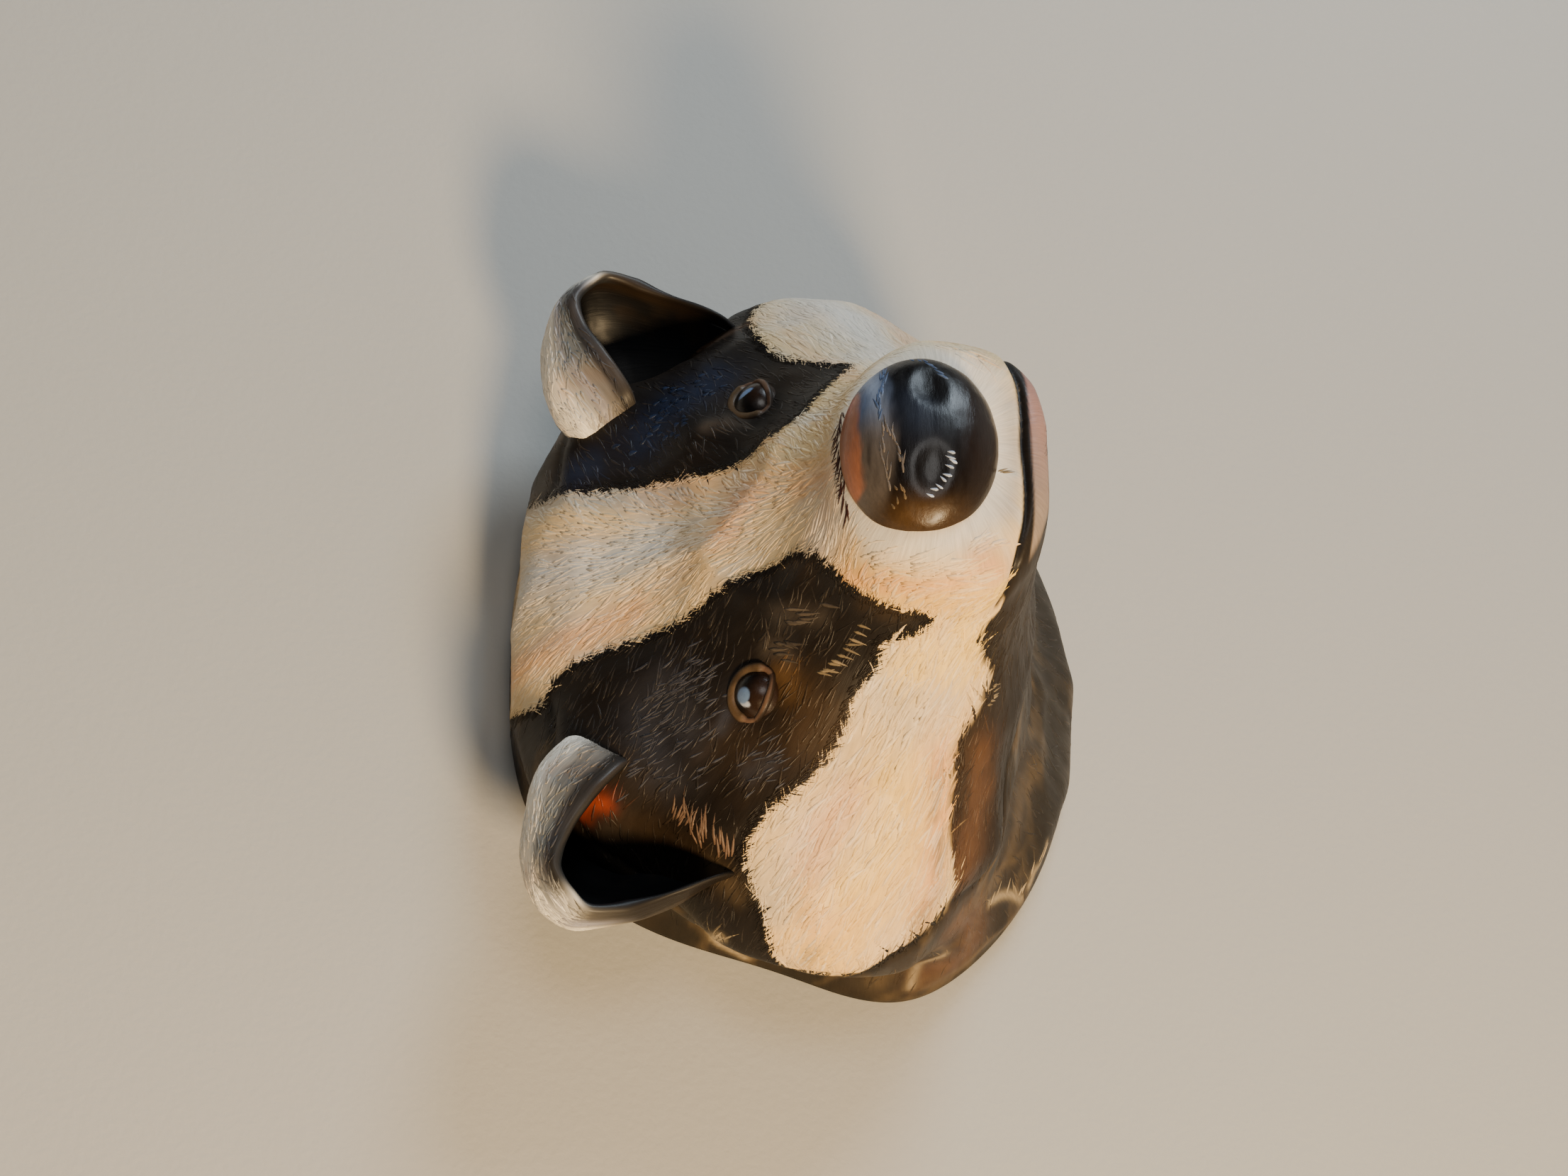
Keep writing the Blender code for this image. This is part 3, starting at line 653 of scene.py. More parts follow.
head = makePiece(
    "painted_head", vertices,
    poleFaces(len(rings), columns), onBack(painted["dark"], paints["tan"]), furPaint,
    dict(overPaint=onBack(painted["cream"], paints["tan"]), edge=onBack(painted["edge"], -5.0)[:, 0],
         soft=onBack(painted["soft"], 1.0)[:, 0], comb=onBack(skin["comb"], np.zeros(3))))
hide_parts("badger_head")
visibleColour = layPaint(painted["dark"], (painted["cream"], fadeIn(painted["edge"], -0.3, 0.3)))


# Brush strokes: closed slivers of paint that lie on a grid surface, each with a crest, two thin sides and a
# keel below the surface; a stroke starts in its place and follows its heading over the surface
sliver = dict(steps=5, keel=0.00035, sink=0.00005)
chance = np.random.default_rng(7)


def readGrid(values, row, column):
    # bilinear reading of a grid with closed rows, at fractional rows and columns
    count, across = values.shape[:2]
    r = np.clip(row, 0, count - 1.001)
    c = np.mod(column, across)
    r0, c0 = np.floor(r).astype(int), np.floor(c).astype(int) % across
    c1 = (c0 + 1) % across
    fr, fc = (r - r0)[..., None], (c - c0)[..., None]
    near = values[r0, c0] * (1 - fc) + values[r0, c1] * fc
    far = values[r0 + 1, c0] * (1 - fc) + values[r0 + 1, c1] * fc
    return near * (1 - fr) + far * fr


def layStrokes(surface, row, column, heading, lengths, widths, rises, bends):
    # walks over the surface: each step is the heading's share along the grid's two directions; the sizes
    # are drawn between their limits in millimetres
    count, number = sliver["steps"], len(row)
    length, width, rise = (chance.uniform(*limits, number) * 0.001 for limits in (lengths, widths, rises))
    bend = chance.normal(0, bends, number)[:, None]
    points, normals = surface["points"], surface["normal"]
    crest, sideways, up = [], [], []
    for k in range(count):
        normal = unit(readGrid(normals, row, column))
        flat = unit(heading - normal * np.sum(heading * normal, -1, keepdims=True))
        crest.append(readGrid(points, row, column))
        sideways.append(np.cross(normal, flat))
        up.append(normal)
        down = readGrid(points, row + 0.5, column) - readGrid(points, row - 0.5, column)
        across = readGrid(points, row, column + 0.5) - readGrid(points, row, column - 0.5)
        aa, ab, bb = (np.sum(p * q, -1) for p, q in ((down, down), (down, across), (across, across)))
        da, db = np.sum(flat * down, -1), np.sum(flat * across, -1)
        scale = length / (count - 1) / np.maximum(aa * bb - ab * ab, 1e-18)
        row = row + (bb * da - ab * db) * scale
        column = column + (aa * db - ab * da) * scale
        heading = flat + bend * sideways[-1] / (count - 1)
    crest, sideways, up = (np.stack(part, 1) for part in (crest, sideways, up))
    u = np.linspace(0, 1, count)
    shape = np.maximum(np.minimum(1, 0.45 + 2.6 * u) * (1 - u ** 2.2) ** 0.8, 0.1)
    half = (width / 2)[:, None, None] * shape[:, None]
    lift = rise[:, None, None] * (0.35 + 0.65 * shape[:, None])
    left = crest - sideways * half - up * sliver["sink"]
    right = crest + sideways * half - up * sliver["sink"]
    return np.stack((left, crest + up * lift, right, crest - up * sliver["keel"]), 2)


def strokePiece(name, laid, tipLight=1.0):
    # closed tubes from groups of rings and paints; the colour runs from the root's paint to its tip's light
    rings, root = (np.concatenate([group[k] for group in laid]) for k in (0, 1))
    number, count = rings.shape[:2]
    base = (np.arange(number) * count * 4)[:, None, None]
    k = np.arange(count - 1)[:, None] * 4
    c = np.arange(4)[None, :]
    n = (c + 1) % 4
    sides = np.stack((k + c, k + n, k + 4 + n, k + 4 + c), -1).reshape(1, -1, 4) + base
    last = 4 * (count - 1)
    ends = np.array(((3, 2, 1, 0), (last, last + 1, last + 2, last + 3)))[None] + base
    faces = np.concatenate((sides, ends), 1).reshape(-1, 4)
    isFlat = np.concatenate((np.tile((False, False, True, True), count - 1), (True, True)))
    u = np.linspace(0, 1, count)[None, :, None]
    colour = root[:, None] * (1 - u + tipLight * u)
    colour = np.repeat(colour[:, :, None], 4, 2).reshape(-1, 3)
    return makePiece(name, rings.reshape(-1, 3), [faces], colour, strokePaint, None, np.tile(isFlat, number))


def rowOf(station):
    return np.interp(station, skin["station"], np.arange(rows))


def columnOf(turn):
    return (np.asarray(turn) + 180) / 360 * columns


alongStep = np.gradient(skin["points"], axis=0)
acrossStep = (np.roll(skin["points"], -1, 1) - np.roll(skin["points"], 1, 1)) / 2
alongSize, acrossSize = (norm(step, axis=-1, keepdims=True) for step in (alongStep, acrossStep))
cellArea = norm(np.cross(alongStep, acrossStep), axis=-1)
forward = alongStep / alongSize
toRight = np.cross(forward, skin["normal"])
toRight *= np.sign(toRight[rows // 2, columns // 2, 0])


def scatter(number, density):
    # random places on the skin, more where the density is higher
    weight = (cellArea * density).ravel()
    cell = chance.choice(weight.size, number, p=weight / weight.sum())
    down, across = (chance.uniform(-0.5, 0.5, number) for part in ("row", "column"))
    return cell // columns + down, cell % columns + across


furLean = ((0, 0), (15, 15), (24, 42), (40, 30), (60, 2), (80, -12), (105, -25), (130, -12), (180, 0))


def furHeading(row, column, noise):
    # fur runs forwards; near the stripe it turns to the middle, on the cheeks down, on the muzzle round;
    # furLean gives its lean at each turn from the top, both in degrees
    turn = readGrid(skin["t"][..., None], row, np.clip(column, 1, columns - 2))[..., 0]
    station = readGrid(skin["s"][..., None], row, column)[..., 0]
    lean = np.interp(np.abs(turn), *np.array(furLean).T)
    lean = lean - 55 * fadeIn(station, 8.2, 9.2) * fadeIn(np.abs(turn), 30, 55)
    lean = np.radians(lean + noise * chance.normal(size=row.shape))
    inward = -np.sign(turn)[:, None] * readGrid(toRight, row, column)
    return np.cos(lean)[:, None] * readGrid(forward, row, column) + np.sin(lean)[:, None] * inward


def varied(colour, amount, tint=None, share=0.0):
    # each stroke a little lighter or darker, some mixed with a tint
    number = len(colour)
    if tint is not None:
        colour = layPaint(colour, (tint, share * chance.random(number) ** 2))
    return colour * np.exp(amount * chance.normal(size=(number, 1)))


print("fur strokes")
noseGap = distanceTo(skin["smooth"], lineOnSkin(noseRim, closed=True))
s, mouthGap = skin["s"], skin["mouth"]
clear = (s > 0.35) & (s < 11.0) & ((noseGap > 0.0035) | (s < 9.0))
clear = clear & (mouthGap > np.where(s > 7.5, 0.0075, 0.0022))
edge = painted["edge"]


def furPiece(name, number, density, lengths, widths, noise, amount, tint, share, tipLight):
    row, column = scatter(number, density)
    root = varied(readGrid(visibleColour, row, column), amount, tint, share)
    rings = layStrokes(skin, row, column, furHeading(row, column, noise), lengths, widths, (0.04, 0.11), 0.25)
    strokePiece(name, [(rings, root)], tipLight)


furPiece("cream_fur_strokes", 4200, clear * (edge > 1.6), (5.0, 11.0), (1.2, 2.3),
         10, 0.05, "ringWhite", 0.4, 1.03)
onDark = clear * (edge < -1.0) * (1.0 + (skin["foldGap"] > 0))
furPiece("dark_fur_strokes", 3800, onDark, (4.0, 8.0), (0.8, 1.5),
         15, 0.16, "greyStreak", 0.25, 1.1)

print("edge strokes")
slope = np.gradient(edge, axis=0)[..., None] * alongStep / alongSize ** 2
edgeAcross = (np.roll(edge, -1, 1) - np.roll(edge, 1, 1)) / 2
slope = unit(slope + edgeAcross[..., None] * acrossStep / np.maximum(acrossSize, 1e-5) ** 2)
crisp = clear & (painted["soft"] < 0.8) & (s < 9)


def edgeStrokes(number, density, towards, along, paintGrid, lengths, widths):
    # hairs that cross the cream fur's outline, from the dark side or from the cream side
    row, column = scatter(number, density)
    heading = towards * readGrid(slope, row, column) + along * readGrid(forward, row, column)
    heading += 0.28 * chance.normal(size=heading.shape)
    colour = varied(readGrid(paintGrid, row, column), 0.1)
    return layStrokes(skin, row, column, heading, lengths, widths, (0.12, 0.22), 0.3), colour


darkSide = crisp * (edge > -2.2) * (edge < 0)
creamSide = crisp * (edge > 0.6) * (edge < 3)
softSide = clear * (painted["soft"] > 0.8) * (np.abs(edge) < 3.5)
strokePiece("edge_fur_strokes", [
    edgeStrokes(2700, darkSide, 0.6, 0.9, painted["dark"], (2.4, 4.4), (0.5, 0.85)),
    edgeStrokes(900, creamSide, -0.35, 0.9, painted["cream"], (2.6, 4.6), (0.6, 1.0)),
    edgeStrokes(600, softSide, -0.3, 0.9, visibleColour, (4.0, 8.0), (1.0, 1.8))], 0.95)

photoView = dict(turn=30.01, lift=13.45, roll=7.01, distance=0.8431, target=(0.0352, 0.0, 0.0029),
                 lens=60.0, sensor=36.0)


def photoAxes():
    # right, up and back of the upright view, with the head's slight tilt
    turn, lift, roll = (np.radians(photoView[key]) for key in ("turn", "lift", "roll"))
    back = np.array((-np.sin(turn) * np.cos(lift), -np.cos(turn) * np.cos(lift), np.sin(lift)))
    right = np.array((np.cos(turn), -np.sin(turn), 0.0))
    up = np.cross(back, right)
    return np.cos(roll) * right + np.sin(roll) * up, -np.sin(roll) * right + np.cos(roll) * up, back


def viewHeading(surface, row, column, degrees, spread):
    # a heading on the surface that looks like that angle in the upright view: 0 is right, 90 is up
    right, up, back = photoAxes()
    angle = np.radians(degrees + spread * chance.normal(size=row.shape))[:, None]
    flat = np.cos(angle) * right + np.sin(angle) * up
    normal = readGrid(surface["normal"], row, column)
    away = np.sum(flat * normal, -1, keepdims=True) / np.maximum(normal @ back, 0.35)[:, None]
    return flat - back * away


# Marks laid stroke by stroke: paint, number, places that they are spread along, heading, length, width
# and scatter
brushMarks = dict(
    tanRow=("greyTan", 11, ((-61.5, 6.6), (-63, 6.8), (-64.4, 7.1), (-64.6, 7.45)), -108, (3.6, 5.4),
        (1.1, 1.6), 0.0003),
    pinkTop=("pinkTan", 8, ((-55.6, 4.08), (-57.3, 4.18)), -22, (4.5, 6.5), (1.1, 1.5), 0.0012),
    pinkMiddle=("pinkTan", 11, ((-58.8, 4.22), (-61.5, 4.3), (-63.2, 4.35)), 4, (6.5, 10.5),
        (1.1, 1.6), 0.0013),
    pinkLow=("pinkTan", 7, ((-65.6, 4.4), (-67.2, 4.5)), 2, (5, 8), (1.1, 1.5), 0.001),
    clump=("blueGrey", 120, ((-49, 4.3), (-42, 4.3), (-36, 4.55), (-34, 4.8), (-44, 4.95),
        (-52, 4.85)), -62, (3.5, 6), (0.8, 1.3), 0.0042),
    eyeSide=("blueGrey", 22, ((-65.5, 5.45), (-63.5, 5.5), (-61.5, 5.25)), -64, (3, 5), (0.8, 1.1), 0.0025),
    eyeFront=("greyStreak", 14, ((-45, 6.25), (-49, 6.4), (-43, 6.7), (-50, 7.05)), -98, (4.5, 8),
        (1.2, 1.8), 0.0022),
    navyDabs=("navy", 46, ((32, 4.1), (36, 4.5), (43, 4.75), (50, 4.9), (48, 4.4),
        (40, 4.25)), -70, (2.2, 3.4), (2, 2.8), 0.0035),
    mouthCorner=("paleYellow", 20, ((-95, 8), (-101, 8.25), (-107, 8.6), (-110, 9)), -52, (5, 8.5),
        (0.9, 1.5), 0.002),
    cheekTuft=("paleYellow", 14, ((-103, 7.6), (-106, 7.3), (-109, 7)), -30, (4, 7), (1, 1.6), 0.0018),
    noseBrush=("maroon", 34, ((-33, 9.55), (-18, 9.62), (0, 9.68), (18, 9.62),
        (30, 9.5)), 168, (3.5, 6.5), (0.8, 1.3), 0.0008),
    noseSpikes=("maroon", 14, ((-22, 9.45), (-5, 9.5), (14, 9.5)), 128, (2.2, 3.6), (0.6, 0.9), 0.0007),
    swirl=("paleTan", 9, ((-66, 0.3), (-61, 0.55), (-60.5, 1.3), (-66, 2.2), (-70, 3)), -60, (4, 6),
        (1, 1.5), 0.0003),
    collarSwirl=("paleTan", 8, ((-117.5, 1.6), (-121, 1.3), (-124, 0.8), (-129, 1),
        (-134, 0.9)), -20, (3.5, 5.5), (1, 1.4), 0.0006),
    jawTuft=("greyTan", 9, ((-114.5, 6.5), (-117.5, 6.5)), -80, (2.5, 4), (0.8, 1.2), 0.0012),
    philtrum=("greyTan", 3, ((-149, 11.7), (-150, 11.6)), -90, (3, 3.8), (0.7, 0.9), 0.0002),
)


def markStrokes(paint, number, places, heading, lengths, widths, spread):
    station, turn = chartCurve(places, spacing=12)
    along = np.linspace(0, len(station) - 1, number)
    row = rowOf(np.interp(along, np.arange(len(station)), station))
    column = columnOf(np.interp(along, np.arange(len(turn)), np.unwrap(turn, period=360)))
    row = row + chance.normal(0, 1, number) * spread / 0.0012
    column = column + chance.normal(0, 1, number) * spread / 0.001
    heading = viewHeading(skin, row, column, heading, 8)
    rings = layStrokes(skin, row, column, heading, lengths, widths, (0.14, 0.24), 0.2)
    return rings, varied(np.broadcast_to(paints[paint], (number, 3)), 0.16)


print("brush marks")
strokePiece("brush_marks", [markStrokes(*mark) for mark in brushMarks.values()], 0.9)


# The ears: hoods swept along their key lines, (outwards, forwards, upwards) as shares of the ear's size
ear = dict(width=0.059, depth=0.04, height=0.06, wall=0.0034, endWall=0.4, seat=(2.92, 53.5),
           along=160, across=44, lip=6)
earKeys = dict(
    sunkTip=((0.09, 0.25, -0.47), (0.15, 0.33, -0.48), (0.19, 0.42, -0.45), (0.2, 0.5, -0.42), 0.1),
    lowTip=((0.07, 0.2, -0.37), (0.19, 0.3, -0.36), (0.26, 0.48, -0.3), (0.28, 0.58, -0.27), 0.1),
    lowerEdge=((0.05, -0.05, -0.2), (0.31, 0, -0.15), (0.4, 0.34, -0.03), (0.4, 0.5, 0), 0.15),
    outerEdge=((0.02, -0.28, -0.03), (0.4, -0.15, 0.11), (0.49, 0.27, 0.26), (0.48, 0.5, 0.29), 0.22),
    outerTop=((-0.05, -0.4, 0.07), (0.38, -0.25, 0.36), (0.46, 0.2, 0.43), (0.4, 0.52, 0.42), 0.32),
    top=((-0.15, -0.43, 0.15), (0.26, -0.3, 0.54), (0.29, 0.17, 0.56), (0.26, 0.54, 0.5), 0.45),
    crest=((-0.27, -0.35, 0.22), (0.05, -0.25, 0.59), (0.02, 0.2, 0.6), (0.09, 0.56, 0.45), 0.52),
    innerTop=((-0.4, -0.2, 0.28), (-0.22, -0.13, 0.55), (-0.25, 0.24, 0.56), (-0.08, 0.62, 0.35), 0.52),
    innerEnd=((-0.53, 0, 0.28), (-0.41, 0.06, 0.46), (-0.43, 0.31, 0.45), (-0.27, 0.57, 0.2), 0.5),
    sunkEnd=((-0.57, 0.08, 0.2), (-0.51, 0.12, 0.34), (-0.5, 0.25, 0.33), (-0.38, 0.38, 0.1), 0.45),
    deepEnd=((-0.58, 0.12, 0.02), (-0.56, 0.14, 0.12), (-0.54, 0.2, 0.11), (-0.46, 0.26, -0.06), 0.4),
)


def buildEar(side):
    # two curves of second degree carry each section from the root over the rim to the lip; the inner face
    # lies a wall's thickness inside, and a half round joins the two at the lip
    seat = headSurface(ear["seat"][0], side * ear["seat"][1])
    size = np.array((side * ear["width"], -ear["depth"], ear["height"]))
    place = np.linspace(0, len(earKeys) - 1, ear["along"])
    root, bulge, rim, lip = (smoothLine([key[k] for key in earKeys.values()], place) * size for k in range(4))
    carry = smoothLine([key[4] for key in earKeys.values()], place)[:, None]
    roll = rim + carry * (rim - bulge)
    t = np.linspace(0, 1, ear["across"] + 1)[:, None, None]
    back = (1 - t) ** 2 * root + 2 * t * (1 - t) * bulge + t ** 2 * rim
    front = (1 - t) ** 2 * rim + 2 * t * (1 - t) * roll + t ** 2 * lip
    outer = seat + np.concatenate((back, front[1:]))
    normal = unit(np.cross(np.gradient(outer, axis=1), np.gradient(outer, axis=0))) * side
    thick = ear["endWall"] + (1 - ear["endWall"]) * np.sin(np.pi * place / place[-1])
    wall = ear["wall"] * thick
    mirrored = outer * np.array((side, 1, 1))
    lump = paperFacets(mirrored, 0.017, 9) / (2 * 0.09) - 0.0004 + 0.00028 * mottle(mirrored, 0.012, 51)
    inner = outer - (wall[:, None] + 0.7 * lump[..., None]) * normal
    outer = outer + lump[..., None] * normal
    onward = unit(outer[-1] - outer[-2])
    middle = (outer[-1] + inner[-1]) / 2
    halfWall = (outer[-1] - inner[-1]) / 2
    bend = np.linspace(0, np.pi, ear["lip"] + 2)[1:-1, None, None]
    edge = middle + np.cos(bend) * halfWall + np.sin(bend) * onward * (wall[:, None] / 2)
    return np.swapaxes(np.concatenate((outer, edge, inner[::-1])), 0, 1), place


def paintEar(grid, place, side):
    # the back is dark with a cream rim, the rolled flap slate and lavender with an ochre edge, the cup black;
    # a is the place along the rim in key lines, c runs 0 to 1 from the root to the lip and on to 2 inside
    count, across = grid.shape[:2]
    mirrored = grid * np.array((side, 1, 1))
    a = np.broadcast_to(place[:, None], (count, across))
    c = np.broadcast_to(np.arange(across)[None, :] / (2 * ear["across"]), (count, across))
    streak = mottle(np.stack((c * 0.05, a * 0.0016, 0 * c), -1), 0.0035, 92 + int(side))
    patchy = mottle(mirrored, 0.01, 95)
    onTop = fadeIn(a, 2.2, 3.2) * (1 - fadeIn(a, 8.9 + 0.5 * streak, 9.3 + 0.5 * streak))
    warm = layPaint("earCream", ("peach", 0.35 * fadeIn(patchy, 0.1, 0.7)))
    coat = layPaint("slate", ("lavender", 0.8 * fadeIn(streak, -0.05, 0.5)),
                    ("ochre", 0.5 * fadeIn(a, 6.4, 7.4)))
    outerEdge = 1 - fadeIn(a + 0.4 * streak, 3.0, 3.9)
    colour = layPaint(
        "blackBrown", ("umber", 0.6 * fadeIn(patchy, -0.2, 0.6)),
        (warm, fadeIn(c + 0.05 * streak, 0.22, 0.34) * onTop),
        (coat, 0.85 * fadeIn(c + 0.1 * streak, 0.66, 0.86) * fadeIn(a, 3.4, 4.6) * onTop),
        ("blackBrown", 0.9 * fadeIn(c + 0.05 * streak, 0.87, 0.97) * fadeIn(a, 3.6, 4.6)),
        ("blackBrown", 0.92 * fadeIn(c, 0.5, 0.72) * outerEdge),
        ("lavender", 0.8 * bell((c, 0.72, 0.07)) * fadeIn(a, 2.2, 3.2) * outerEdge))
    glow = fadeIn(bell((a, 8.3, 0.8), (c, 1.35, 0.16)), 0.25, 0.6)
    patch = ("orangeRed", 0.9 * glow) if side < 0 else ("umber", 0.9 * bell((a, 2.6, 1.0), (c, 1.2, 0.2)))
    edgeBlue = bell((c, 1.12, 0.05)) * fadeIn(a, 2.6, 3.4) * (1 - fadeIn(a, 5.0, 6.5))
    deep = layPaint("earBlack", ("umber", 0.5 * fadeIn(patchy, 0.2, 0.8)), patch, ("slate", 0.5 * edgeBlue))
    return layPaint(colour, (deep, fadeIn(c, 1.02, 1.05))), np.stack((c * 0.07, 0 * c, a * 0.0012), -1)


for name, side in (("left", -1.0), ("right", 1.0)):
    print("ear", name)
    grid, place = buildEar(side)
    count, across = grid.shape[:2]
    colours, comb = paintEar(grid, place, side)
    k = np.arange(across // 2 - 1)
    caps = [np.stack((start + k, start + k + 1, start + across - 2 - k, start + across - 1 - k), -1)
            for start in (0, (count - 1) * across)]
    faces = [gridFaces(count, across), caps[0], caps[1][:, ::-1]]
    combs = dict(comb=comb.reshape(-1, 3))
    makePiece("painted_ear_" + name, grid.reshape(-1, 3), faces, colours.reshape(-1, 3), earPaint, combs)
    normal = gridNormals(grid)
    inward = np.mean(grid, axis=1, keepdims=True) - grid
    probe = int(0.6 * count), across // 4
    surface = dict(points=grid, normal=normal * -np.sign(np.sum(normal[probe] * inward[probe])))
    number = 620
    row = chance.uniform(0.3, 0.9, number) * count
    column = chance.uniform(0.22, 0.98, number) * 2 * ear["across"]
    heading = unit(readGrid(np.gradient(grid, axis=0), row, column)) + 0.25 * chance.normal(size=(number, 3))
    root = varied(readGrid(colours, row, column), 0.13)
    rings = layStrokes(surface, row, column, heading, (3.0, 7.0), (0.8, 1.5), (0.1, 0.2), 0.25)
    strokePiece("ear_strokes_" + name, [(rings, root)])


# The nose ball, an egg that leans with the muzzle's front, with two hollows for the nostrils
nose = dict(halfWidth=0.028, halfHeight=0.0205, length=0.014, sunk=0.75, lean=0.24, depth=0.966,
            height=0.049, nostril=(0.46, 0.02), nostrilWide=0.0062, nostrilHigh=0.004,
            nostrilDeep=0.0014, rows=150, columns=180)


def buildNose():
    # circles round the side-to-side axis; the nostrils are pressed in by a steep bell
    centre = np.array((0.0, -nose["depth"] * headSpan["reach"], nose["height"] * headSpan["crown"]))
    wide, tall, nostril = nose["halfWidth"], nose["halfHeight"], nose["nostril"]
    v = np.linspace(-np.pi / 2, np.pi / 2, nose["rows"] + 2)[1:-1, None]
    w = roundTurn(nose["columns"])
    x = np.sin(v) * np.ones_like(w)
    front, up = np.cos(v) * np.sin(w), np.cos(v) * np.cos(w)
    length = nose["length"] * np.where(front >= 0, 1, nose["sunk"])
    pressed = 0
    for side in (-1, 1):
        dx = (x - side * nostril[0]) * wide / nose["nostrilWide"]
        dz = (up - nostril[1]) * tall / nose["nostrilHigh"]
        pressed = pressed + nose["nostrilDeep"] * np.exp(-(dx ** 2 + dz ** 2) ** 1.5) * (front > 0)
    points = np.stack((wide * x, nose["lean"] * tall * up - length * front + pressed, tall * up), -1)
    points = points * (1 + 0.011 * mottle(points, 0.009, 33)[..., None])
    return centre + points, np.stack((x, up, front), -1), centre


def paintNose(share, points):
    # orange rim at the top; below it a grey-tan and blue-grey band, partly the nose's own paint and partly
    # painted reflection of daylight from the right, with a pale painted highlight in it; then black with a
    # faint bluish painted highlight, brown-black underneath, and black in the nostril hollows
    x, up, _ = np.moveaxis(share, -1, 0)
    wave = 0.1 * mottle(points * np.array((0.5, 1, 1.6)), 0.006, 37)
    u = up + wave
    grain = mottle(points * np.array((0.4, 1, 2)), 0.004, 39)
    noseSheen = layPaint("noseGrey", ("noseBlue", fadeIn(x + wave, -0.15, 0.35)),
                    ("noseBlack", 0.5 * fadeIn(grain, 0.0, 0.6)))
    orange = layPaint("rimOrange", ("rimPink", fadeIn(x, 0.2, 0.6) * fadeIn(u, 0.84, 0.95)))
    nostrils = sum(bell((x, side * nose["nostril"][0], 0.17), (up, -0.02, 0.14)) for side in (-1, 1))
    return layPaint(
        "noseBlack", ("noseBrown", 0.9 * fadeIn(-u, 0.15, 0.6)),
        (noseSheen, 0.75 * fadeIn(u, 0.38, 0.62) * fadeIn(x + 0.9, 0.0, 0.3)),
        # painted highlights: a pale one in the band and a faint bluish one on the black
        ("strokeWhite", 0.55 * bell((x, 0.52, 0.26), (u, 0.62, 0.08))),
        ("noseBlue", 0.18 * bell((x, 0.15, 0.22), (u, 0.16, 0.2))),
        (orange, fadeIn(u, 0.8, 0.88)),
        ("ochre", 0.55 * bell((x, -0.86, 0.12), (u, 0.1, 0.4))),
        ("noseBlack", 0.9 * nostrils))


print("nose")
nosePoints, noseShare, noseCentre = buildNose()
noseColours = paintNose(noseShare, nosePoints - noseCentre)
noseRows, noseColumns = nosePoints.shape[:2]
ends = (noseCentre + (side * nose["halfWidth"], 0, 0) for side in (-1, 1))
vertices = np.vstack((nosePoints.reshape(-1, 3), *ends))
noseComb = np.vstack((((nosePoints - noseCentre) * np.array((0.2, 1, 1))).reshape(-1, 3), np.zeros((2, 3))))
colours = np.vstack((noseColours.reshape(-1, 3), np.tile(paints["noseBlack"], (2, 1))))
makePiece("painted_nose", vertices, poleFaces(noseRows, noseColumns), colours, nosePaint, dict(comb=noseComb))
noseNormal = gridNormals(nosePoints)
noseNormal *= np.sign(np.sum(noseNormal * (nosePoints - noseCentre), axis=-1).mean())
noseSurface = dict(points=nosePoints, normal=noseNormal)

# Highlights and dabs on the nose: paint, number, line in shares (x, up), heading, length, width
noseMarks = dict(
    curvedRow=("strokeWhite", 9, ((-0.72, -0.02), (-0.6, -0.16), (-0.46, -0.26),
        (-0.3, -0.28)), 62, (2, 3), (0.9, 1.3)),
    rightLights=("noseBlue", 8, ((0.86, 0.12), (0.8, -0.04), (0.66, -0.18),
        (0.54, -0.24)), 58, (2.2, 3.6), (1, 1.5)),
    topLights=("noseBlue", 16, ((0.1, 0.64), (0.4, 0.62), (0.72, 0.52)), -6, (3.5, 6), (0.9, 1.3)),
    topGreys=("noseGrey", 20, ((-0.62, 0.5), (-0.35, 0.62), (0, 0.6), (-0.2, 0.46),
        (-0.5, 0.36)), 8, (3, 5.5), (0.8, 1.2)),
    leftDabs=("tan", 6, ((-0.8, 0.42), (-0.7, 0.3), (-0.64, 0.42)), 20, (1.5, 2.6), (0.9, 1.2)),
)


def noseStrokes(paint, number, places, heading, lengths, widths):
    places = np.array(places)
    along = np.linspace(0, len(places) - 1, number)
    x, up = (np.interp(along, np.arange(len(places)), places[:, k]) + 0.012 * chance.normal(size=number)
             for k in (0, 1))
    v = np.arcsin(x)
    w = np.arccos(np.clip(up / np.cos(v), -1, 1))
    row = (v + np.pi / 2) / np.pi * (noseRows + 1) - 1
    column = w / (2 * np.pi) * noseColumns
    heading = viewHeading(noseSurface, row, column, heading, 10)
    rings = layStrokes(noseSurface, row, column, heading, lengths, widths, (0.14, 0.24), 0.2)
    return rings, varied(np.broadcast_to(paints[paint], (number, 3)), 0.18)


strokePiece("nose_strokes", [noseStrokes(*mark) for mark in noseMarks.values()])


# The eyes: a ball mostly sunk in its socket, under an almond of lids
eye = dict(radius=0.008, seat=(5.8, 51.9), sink=0.5, slit=(-0.81, -0.56, -0.16), halfLength=0.95,
           upperRise=0.88, lowerDrop=0.62, lid=0.0019, lidRest=0.95,
           ballRows=60, ballColumns=80, lidSteps=140, lidSides=24)


def eyeFrame(side):
    station, turn = eye["seat"]
    turn = side * turn
    step = 0.02
    seat = headSurface(station, turn)
    along = headSurface(station + step, turn) - headSurface(station - step, turn)
    around = headSurface(station, turn + 1) - headSurface(station, turn - 1)
    outward = unit(np.cross(along, around))
    outward *= -np.sign(outward[1])
    slit = np.array(eye["slit"]) * (side, 1, 1)
    slit = unit(slit - outward * np.dot(slit, outward))
    rise = np.cross(outward, slit)
    rise *= np.sign(rise[2])
    return seat - outward * eye["sink"] * eye["radius"], outward, slit, rise


